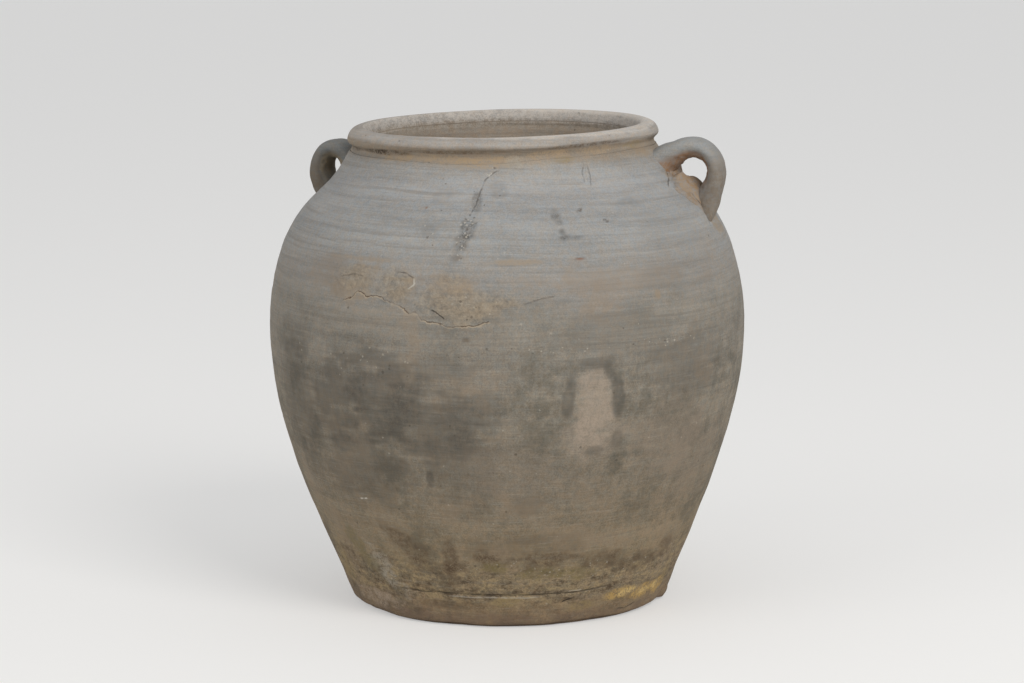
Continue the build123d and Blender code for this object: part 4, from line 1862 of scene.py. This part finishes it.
class ClayShader(NodeSheet):
    """Nodes of one clay finish: the noises it is made of, and the layers laid over its tone."""

    def __init__(self, finish: ClayFinish) -> None:
        """Lay out the clouds and blots of the firing, and the wavy strokes of the potter's hand.

        Args:
            finish: What the clay looks like.
        """
        super().__init__(bpy.data.materials.new(finish.name))
        self.finish = finish
        self.place = self.node("ShaderNodeTexCoord").outputs["Object"]
        parts = self.node("ShaderNodeSeparateXYZ")
        self.feed(parts.inputs[0], self.place)
        self.level = self.math("DIVIDE", parts.outputs[2], finish.tone_span * MM)
        self.low = self.step(self.level, 0.73, 0.52)
        drift = self.node("ShaderNodeCombineXYZ")
        self.feed(drift.inputs[2], self.times(self.noise(self.place, 4.0, 2.0), 0.012))
        strokes = self.vector("ADD", self.place, drift.outputs[0])
        self.clouds = self.noise(self.place, 9.0, 5.0, 0.6)
        self.blots = self.noise(self.place, 34.0, 9.0, 0.68)
        self.mottle = self.noise(self.place, 190.0, 6.0, 0.72)
        self.bands = self.noise(self.product(strokes, (6.5, 6.5, 75.0)), 1.0, 4.0, 0.62)
        self.streaks = self.noise(self.product(strokes, (9.0, 9.0, 300.0)), 1.0, 4.0, 0.62)
        self.lines = self.noise(self.product(strokes, (15.0, 15.0, 1100.0)), 1.0, 3.0, 0.65)
        self.dashes = self.noise(self.product(strokes, (60.0, 60.0, 1100.0)), 1.0, 2.0, 0.5)
        self.tints = self.noise(self.place, 240.0, 5.0, 0.7)
        self.scrapes = self.noise(self.product(self.place, (420.0, 420.0, 36.0)), 1.0, 4.0, 0.65)
        self.grain = self.noise(self.place, 850.0, 4.0, 0.8)

    def build(self) -> bpy.types.Material:
        """Join the layers to a surface.

        Returns:
            The material.
        """
        colour = self.stains_and_painted_shading(self.crusted(self.weathered(self.shaded())))
        colour, edge = self.flaked(colour)
        colour, groove = self.cracks_and_painted_lines(colour)
        colour = self.specked(colour)
        height = self.plus(self.height(), self.times(self.plus(groove, edge), -0.8))
        bump = self.node("ShaderNodeBump")
        bump.inputs["Strength"].default_value = self.finish.bump
        bump.inputs["Distance"].default_value = self.finish.bump_depth
        self.feed(bump.inputs["Height"], height)
        surface = self.node("ShaderNodeBsdfPrincipled")
        self.feed(surface.inputs["Base Color"], colour)
        self.feed(surface.inputs["Normal"], bump.outputs[0])
        rough = self.plus(self.swing(self.blots, 0.04), self.finish.roughness, clamp=True)
        self.feed(surface.inputs["Roughness"], rough)
        surface.inputs["Specular IOR Level"].default_value = self.finish.shine
        self.feed(self.node("ShaderNodeOutputMaterial").inputs[0], surface.outputs[0])
        return self.owner

    def shaded(self) -> Socket:
        """The clay's tone by height, with the painted light and shade that its tones carry, made lighter and
        darker by its textures.

        Returns:
            The new colour.
        """
        finish = self.finish
        wander = self.times(self.swing(self.clouds, 0.02), self.step(self.level, 0.93, 0.85))
        wander = self.plus(wander, self.swing(self.blots, 0.0022))
        base = self.tones(
            self.plus(self.level, wander),
            [(height / finish.tone_span, colour) for height, colour in finish.tones],
        )
        base = self.blend(self.attribute("inside"), base, finish.inside_tone)
        fine = self.swing(self.mottle, finish.blotch * 0.8)
        mottled = self.plus(self.swing(self.blots, finish.blotch), fine)
        shade = self.times(mottled, self.fused(self.low, 0.5, 0.5))
        for texture, amount in (
            (self.bands, finish.streak * 2.0),
            (self.streaks, finish.streak * 0.9),
            (self.lines, finish.streak * 0.85),
            (self.dashes, finish.streak * 0.5),
        ):
            shade = self.plus(shade, self.swing(texture, amount))
        grain = self.times(self.swing(self.grain, finish.grain), self.fused(self.low, 0.6, 0.85))
        shade = self.plus(shade, grain)
        shade = self.plus(shade, self.times(self.low, self.swing(self.scrapes, finish.hatch)))
        tint = self.blend(self.step(self.tints, 0.36, 0.64), finish.cool_tint, finish.warm_tint)
        return self.product(self.scaled(base, self.plus(shade, 1.0)), tint)

    def weathered(self, colour: Value) -> Socket:
        """Brown brush strokes on the shoulder, warm patches, and olive soot on the lower half.

        Args:
            colour: Colour so far.

        Returns:
            The new colour.
        """
        banded = self.step(self.bands, 0.4, 0.62, 0.04, 0.32)
        strokes = self.times(self.step(self.streaks, 0.5, 0.36), banded)
        colour = self.blend(strokes, colour, linear(120, 113, 103))
        pale = self.times(self.step(self.dashes, 0.6, 0.72), self.fused(self.low, 0.12, 0.1))
        colour = self.blend(pale, colour, linear(168, 160, 147))
        warm = self.times(self.step(self.clouds, 0.42, 0.62), self.step(self.blots, 0.45, 0.62))
        warm = self.times(warm, self.step(self.level, 0.84, 0.72, 0.1, 0.45))
        colour = self.blend(warm, colour, linear(140, 122, 101))
        dull = self.times(self.step(self.clouds, 0.56, 0.4), self.step(self.blots, 0.55, 0.4))
        return self.blend(self.times(dull, self.times(self.low, 0.42)), colour, linear(80, 77, 66))

    def crusted(self, colour: Value) -> Socket:
        """Earth and soot caked on round the foot.

        Args:
            colour: Colour so far.

        Returns:
            The new colour.
        """
        crust = self.times(self.step(self.level, 0.19, 0.1), self.step(self.level, 0.035, 0.075, 0.35, 1.0))
        lumps = self.noise(self.product(self.place, (80.0, 80.0, 150.0)), 1.0, 9.0, 0.8)
        earth = self.times(self.step(lumps, 0.5, 0.57), self.times(crust, 0.7))
        colour = self.blend(earth, colour, linear(156, 137, 104))
        soot = self.times(self.step(lumps, 0.47, 0.4), self.times(crust, 0.75))
        colour = self.blend(soot, colour, linear(76, 62, 46))
        fine = self.noise(self.place, 520.0, 4.0, 0.8)
        return self.scaled(colour, self.fused(self.minus(fine, 0.5), self.times(crust, 1.6), 1.0))

    def stains_and_painted_shading(self, colour: Value) -> Socket:
        """Lay the mesh's stains over the clay, broken up by its own grain, less so on the belly; some of them
        are painted shade and painted light.

        Args:
            colour: Colour so far.

        Returns:
            The new colour.
        """
        tint = self.attribute("stain", "Color")
        amount = self.attribute("stain", "Alpha")
        ragged = self.plus(self.mottle, self.grain)
        low_or_high = self.math("MAXIMUM", self.step(self.level, 0.3, 0.2), self.step(self.level, 0.76, 0.84))
        breaking = self.fused(low_or_high, self.finish.breaking - 0.4, 0.4)
        broken = self.fused(self.step(ragged, 0.88, 1.12, -0.75, 0.35), breaking, 0.95)
        share = self.times(amount, broken, clamp=True)
        return self.blend(share, colour, tint)

    def flaked(self, colour: Value) -> tuple:
        """Tan body clay above the flake's edge, a painted highlight along the broken edge, a dark line behind
        it that is partly crack and partly painted shadow, and painted light and shade on the crumbs.

        Args:
            colour: Colour so far.

        Returns:
            The new colour and the depth of the edge.
        """
        scaled = self.attribute("scaled")
        crumbs = self.noise(self.place, 260.0, 6.0, 0.75)
        shown = self.fused(scaled, 0.3, self.times(self.plus(crumbs, self.blots), 0.5))
        tan = self.times(self.step(shown, 0.6, 0.8), 0.42)
        colour = self.blend(tan, colour, linear(152, 138, 117))
        # Painted light and shade on the flaked crumbs: lighter where the crumbs stand up in the bump, darker
        # between them.
        painted_crumb_shading = self.times(scaled, self.swing(crumbs, 0.2))
        colour = self.scaled(colour, self.plus(painted_crumb_shading, 1.0))
        gap = self.attribute("flake_gap")
        shake = self.times(self.minus(self.noise(self.place, 330.0, 4.0, 0.65), 0.5), 3.2)
        ragged = self.plus(gap, shake)
        broken = self.step(self.noise(self.place, 75.0, 3.0), 0.4, 0.52, 0.3, 1.0)
        # Painted highlight along the flake's broken lower edge.
        rim = self.times(self.step(ragged, -1.4, -0.6), self.step(ragged, 0.3, -0.3))
        colour = self.blend(self.times(self.times(rim, broken), 0.65), colour, linear(172, 155, 132))
        # Dark line behind the edge: partly a crack, partly painted shadow of the step.
        dark = self.times(self.step(ragged, -0.2, 0.2), self.step(ragged, 1.0, 0.3))
        dark = self.times(dark, broken)
        colour = self.blend(self.times(dark, 0.85), colour, linear(84, 66, 49))
        return colour, self.minus(dark, self.times(self.times(scaled, crumbs), 6.0))

    def cracks_and_painted_lines(self, colour: Value) -> tuple:
        """Dark cracks and pale scratches along the mesh's lines, with painted highlights along the foot's
        groove and painted shade along the wads' creases.

        Args:
            colour: Colour so far.

        Returns:
            The new colour and the depth of the cracks.
        """
        gap = self.attribute("line_gap")
        strength = self.attribute("line_dark")
        shake = self.times(self.minus(self.noise(self.place, 500.0, 3.0), 0.5), 1.3)
        off = self.math("ABSOLUTE", self.plus(gap, shake))
        broken = self.step(self.noise(self.place, 160.0, 2.0), 0.34, 0.5, 0.25, 1.0)
        stroke = self.times(self.step(off, 0.85, 0.25), broken)
        dark = self.times(stroke, self.math("MAXIMUM", strength, 0.0), clamp=True)
        pale = self.times(stroke, self.math("MAXIMUM", self.times(strength, -1.0), 0.0), clamp=True)
        colour = self.blend(dark, colour, linear(52, 45, 38))
        return self.blend(pale, colour, CHALK), dark

    def specked(self, colour: Value) -> Socket:
        """Pale grits and dark pinholes.

        Args:
            colour: Colour so far.

        Returns:
            The new colour.
        """
        shake = self.node("ShaderNodeTexNoise")
        self.feed(shake.inputs["Vector"], self.place)
        shake.inputs["Scale"].default_value = 900.0
        shaken = self.vector("MULTIPLY_ADD", shake.outputs["Color"], (0.0016, 0.0016, 0.0016), self.place)
        density = self.attribute("grit")
        grits = self.specks(shaken, 520.0, self.fused(density, 0.42, 0.004), 0.44)
        pale = self.times(grits, self.fused(density, 0.35, 0.3))
        colour = self.blend(pale, colour, linear(190, 182, 168))
        holes = self.specks(shaken, 360.0, self.fused(density, 0.4, 0.005), 0.4)
        return self.blend(self.times(holes, 0.5), colour, linear(70, 61, 51))

    def height(self) -> Socket:
        """Fine relief of the clay for the bump.

        Returns:
            The height.
        """
        total = self.times(self.lines, 0.55)
        total = self.plus(total, self.times(self.times(self.scrapes, self.low), 0.6))
        total = self.plus(total, self.times(self.grain, 0.6))
        pits = self.specks(self.place, 330.0, 0.1, 0.32)
        return self.minus(total, self.times(pits, 0.6))


# Tones of the left handle: the handle's clay darkened as painted shade.
SHADED_HANDLE_TONES = ((0, linear(119, 115, 108)), (360, linear(117, 116, 112)))
HANDLE_TONES = (
    (0, linear(142, 140, 136)), (300, linear(138, 134, 128)), (330, linear(146, 144, 140)),
    (360, linear(157, 156, 152)),
)


@dataclass(frozen=True)
class SoftLamp:
    """A square soft lamp: its place and side in metres, and its power in watts."""

    name: str
    place: tuple[float, float, float]
    side: float
    power: float


@dataclass
class Studio:
    """Plain pale floor, soft lamps and the camera at the photograph's viewing angle."""

    view_bearing: float = VIEW_BEARING
    distance: float = 2.4534
    eye_height: float = 0.6026
    pitch: float = 9.475
    pan: float = 0.09
    roll: float = -0.3
    lens: float = 114.96
    sensor: float = 36.0
    floor_side: float = 40.0
    floor_tone: Colour = linear(240, 236, 229)
    shown_floor_tone: Colour = linear(198, 195, 190)
    shown_floor_glow: float = 0.36
    sky_tone: Colour = (0.93, 0.96, 1.0)
    sky_strength: float = 0.5
    shown_sky_tone: Colour = (0.97, 0.98, 1.0)
    shown_sky_strength: float = 0.72
    aim_height: float = 0.17
    lamps: tuple[SoftLamp, ...] = (
        SoftLamp("key_lamp", (2.15, -1.68, 2.2), 1.6, 56.0),
        SoftLamp("fill_lamp", (-1.6, -2.4, 1.6), 2.0, 18.5),
    )

    def build(self) -> None:
        """Set up the floor, the light and the camera."""
        self.floor()
        self.world()
        for lamp in self.lamps:
            self.hang(lamp)
        self.camera()
        bpy.context.scene.view_settings.view_transform = "Standard"

    def floor(self) -> None:
        """A wide pale floor under the jar."""
        half = self.floor_side / 2
        mesh = bpy.data.meshes.new("floor")
        corners = [(-half, -half, 0), (half, -half, 0), (half, half, 0), (-half, half, 0)]
        mesh.from_pydata(corners, [], [(0, 1, 2, 3)])
        floor = bpy.data.objects.new("floor", mesh)
        bpy.context.scene.collection.objects.link(floor)
        sheet = NodeSheet(bpy.data.materials.new("pale_floor"))
        surfaces = []
        for tone, glow in ((self.floor_tone, 0.0), (self.shown_floor_tone, self.shown_floor_glow)):
            surface = sheet.node("ShaderNodeBsdfPrincipled")
            sheet.feed(surface.inputs["Base Color"], tone)
            surface.inputs["Roughness"].default_value = 0.9
            surface.inputs["Emission Color"].default_value = (1.0, 1.0, 1.0, 1.0)
            surface.inputs["Emission Strength"].default_value = glow
            surfaces.append(surface.outputs[0])
        sheet.finish_by_ray("ShaderNodeOutputMaterial", *surfaces)
        mesh.materials.append(sheet.owner)

    def world(self) -> None:
        """Even sky light, with a pale backdrop for the camera."""
        world = bpy.data.worlds.new("studio")
        bpy.context.scene.world = world
        sheet = NodeSheet(world)
        skies = []
        for tone, strength in (
            (self.sky_tone, self.sky_strength),
            (self.shown_sky_tone, self.shown_sky_strength),
        ):
            sky = sheet.node("ShaderNodeBackground")
            sheet.feed(sky.inputs["Color"], tone)
            sky.inputs["Strength"].default_value = strength
            skies.append(sky.outputs[0])
        sheet.finish_by_ray("ShaderNodeOutputWorld", *skies)

    def hang(self, lamp: SoftLamp) -> None:
        """Hang a lamp and aim it at the jar's middle.

        Args:
            lamp: The lamp's sizes.
        """
        data = bpy.data.lights.new(lamp.name, "AREA")
        data.size = lamp.side
        data.energy = lamp.power
        hung = bpy.data.objects.new(lamp.name, data)
        hung.location = lamp.place
        aim = Vector((0, 0, self.aim_height)) - hung.location
        hung.rotation_euler = aim.to_track_quat("-Z", "Y").to_euler()
        bpy.context.scene.collection.objects.link(hung)

    def camera(self) -> None:
        """The camera where the photograph was taken from."""
        data = bpy.data.cameras.new("camera")
        data.lens = self.lens
        data.sensor_width = self.sensor
        camera = bpy.data.objects.new("camera", data)
        bpy.context.scene.collection.objects.link(camera)
        turn = Matrix.Rotation(math.radians(self.view_bearing), 4, "Z")
        aim = (
            turn
            @ Matrix.Translation((0.0, -self.distance, self.eye_height))
            @ Matrix.Rotation(math.radians(-self.pan), 4, "Z")
            @ Matrix.Rotation(math.radians(90.0 - self.pitch), 4, "X")
            @ Matrix.Rotation(math.radians(self.roll), 4, "Z")
        )
        camera.matrix_world = aim
        bpy.context.scene.camera = camera


RIGHT_SPINE = (
    (0, -6), (6, -1.5), (14, 1.5), (24, 4.5), (35, 3.8), (44.5, -5.5), (46.5, -17.5), (43, -31.5), (37, -45),
)
LEFT_SPINE = (
    (4, -20), (11, -13), (17.5, -8), (25, -5), (33.5, -5), (41, -13.5), (42.5, -25.5), (38.5, -38.5),
    (32.5, -50),
)
RIGHT_BEARING = 96.25
LEFT_BEARING = -96.25


def dress(pieces: list[bpy.types.Object], finish: ClayFinish) -> None:
    """Give several pieces one finish.

    Args:
        pieces: Pieces to dress.
        finish: Their finish.
    """
    material = finish.material()
    for piece in pieces:
        piece.data.materials.append(material)


def main() -> None:
    """Build the jar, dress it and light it."""
    logging.basicConfig(level=logging.INFO, format="%(message)s")
    profile = JarProfile.from_frame()
    surface = BodySurface(profile)
    pieces = TurnedBody(profile, surface).build()
    wads = [
        # The right wads take the loop's brown lightened as painted light.
        PressedWad("right", "upper", RIGHT_BEARING + 3, 326 * MM, 21 * MM, 12 * MM, 7 * MM, 5 * MM,
                   LOOP_BROWN_AND_LIGHT, surface, 81),
        PressedWad("right", "lower", RIGHT_BEARING - 2, 311 * MM, 28 * MM, 15 * MM, 8 * MM, 10 * MM,
                   LOOP_BROWN_AND_LIGHT, surface, 82, tail_taper=0.3),
        # The left wads take the loop's brown darkened as painted shade.
        PressedWad("left", "upper", LEFT_BEARING, 325 * MM, 20 * MM, 14 * MM, 7 * MM, 0.0,
                   LEFT_LOOP_IN_SHADE, surface, 83),
        PressedWad("left", "lower", LEFT_BEARING, 300 * MM, 19 * MM, 14 * MM, 4.5 * MM, 6 * MM,
                   LEFT_LOOP_IN_SHADE, surface, 84),
    ]
    dress(pieces, ClayFinish("grey_clay"))
    dress([wad.build() for wad in wads], ClayFinish("wad_clay", breaking=0.7))
    right = StrapHandle("right", RIGHT_BEARING, RIGHT_SPINE, surface, 5,
                        root_web=2.1, web_reach=15 * MM, foot_drag=10 * MM)
    # The left handle takes painted shade: a darker inner tone and darker tones.
    left = StrapHandle("left", LEFT_BEARING, LEFT_SPINE, surface, 6,
                       inner_tone=LEFT_LOOP_IN_SHADE, bulge=0.5, root_web=2.2)
    for handle, tones in ((right, HANDLE_TONES), (left, SHADED_HANDLE_TONES)):
        name = f"{handle.side}_handle_clay"
        dress([handle.build()], ClayFinish(name, tones, streak=0.015, hatch=0.0, breaking=0.5))
    Studio().build()


if __name__ == "__main__":
    main()
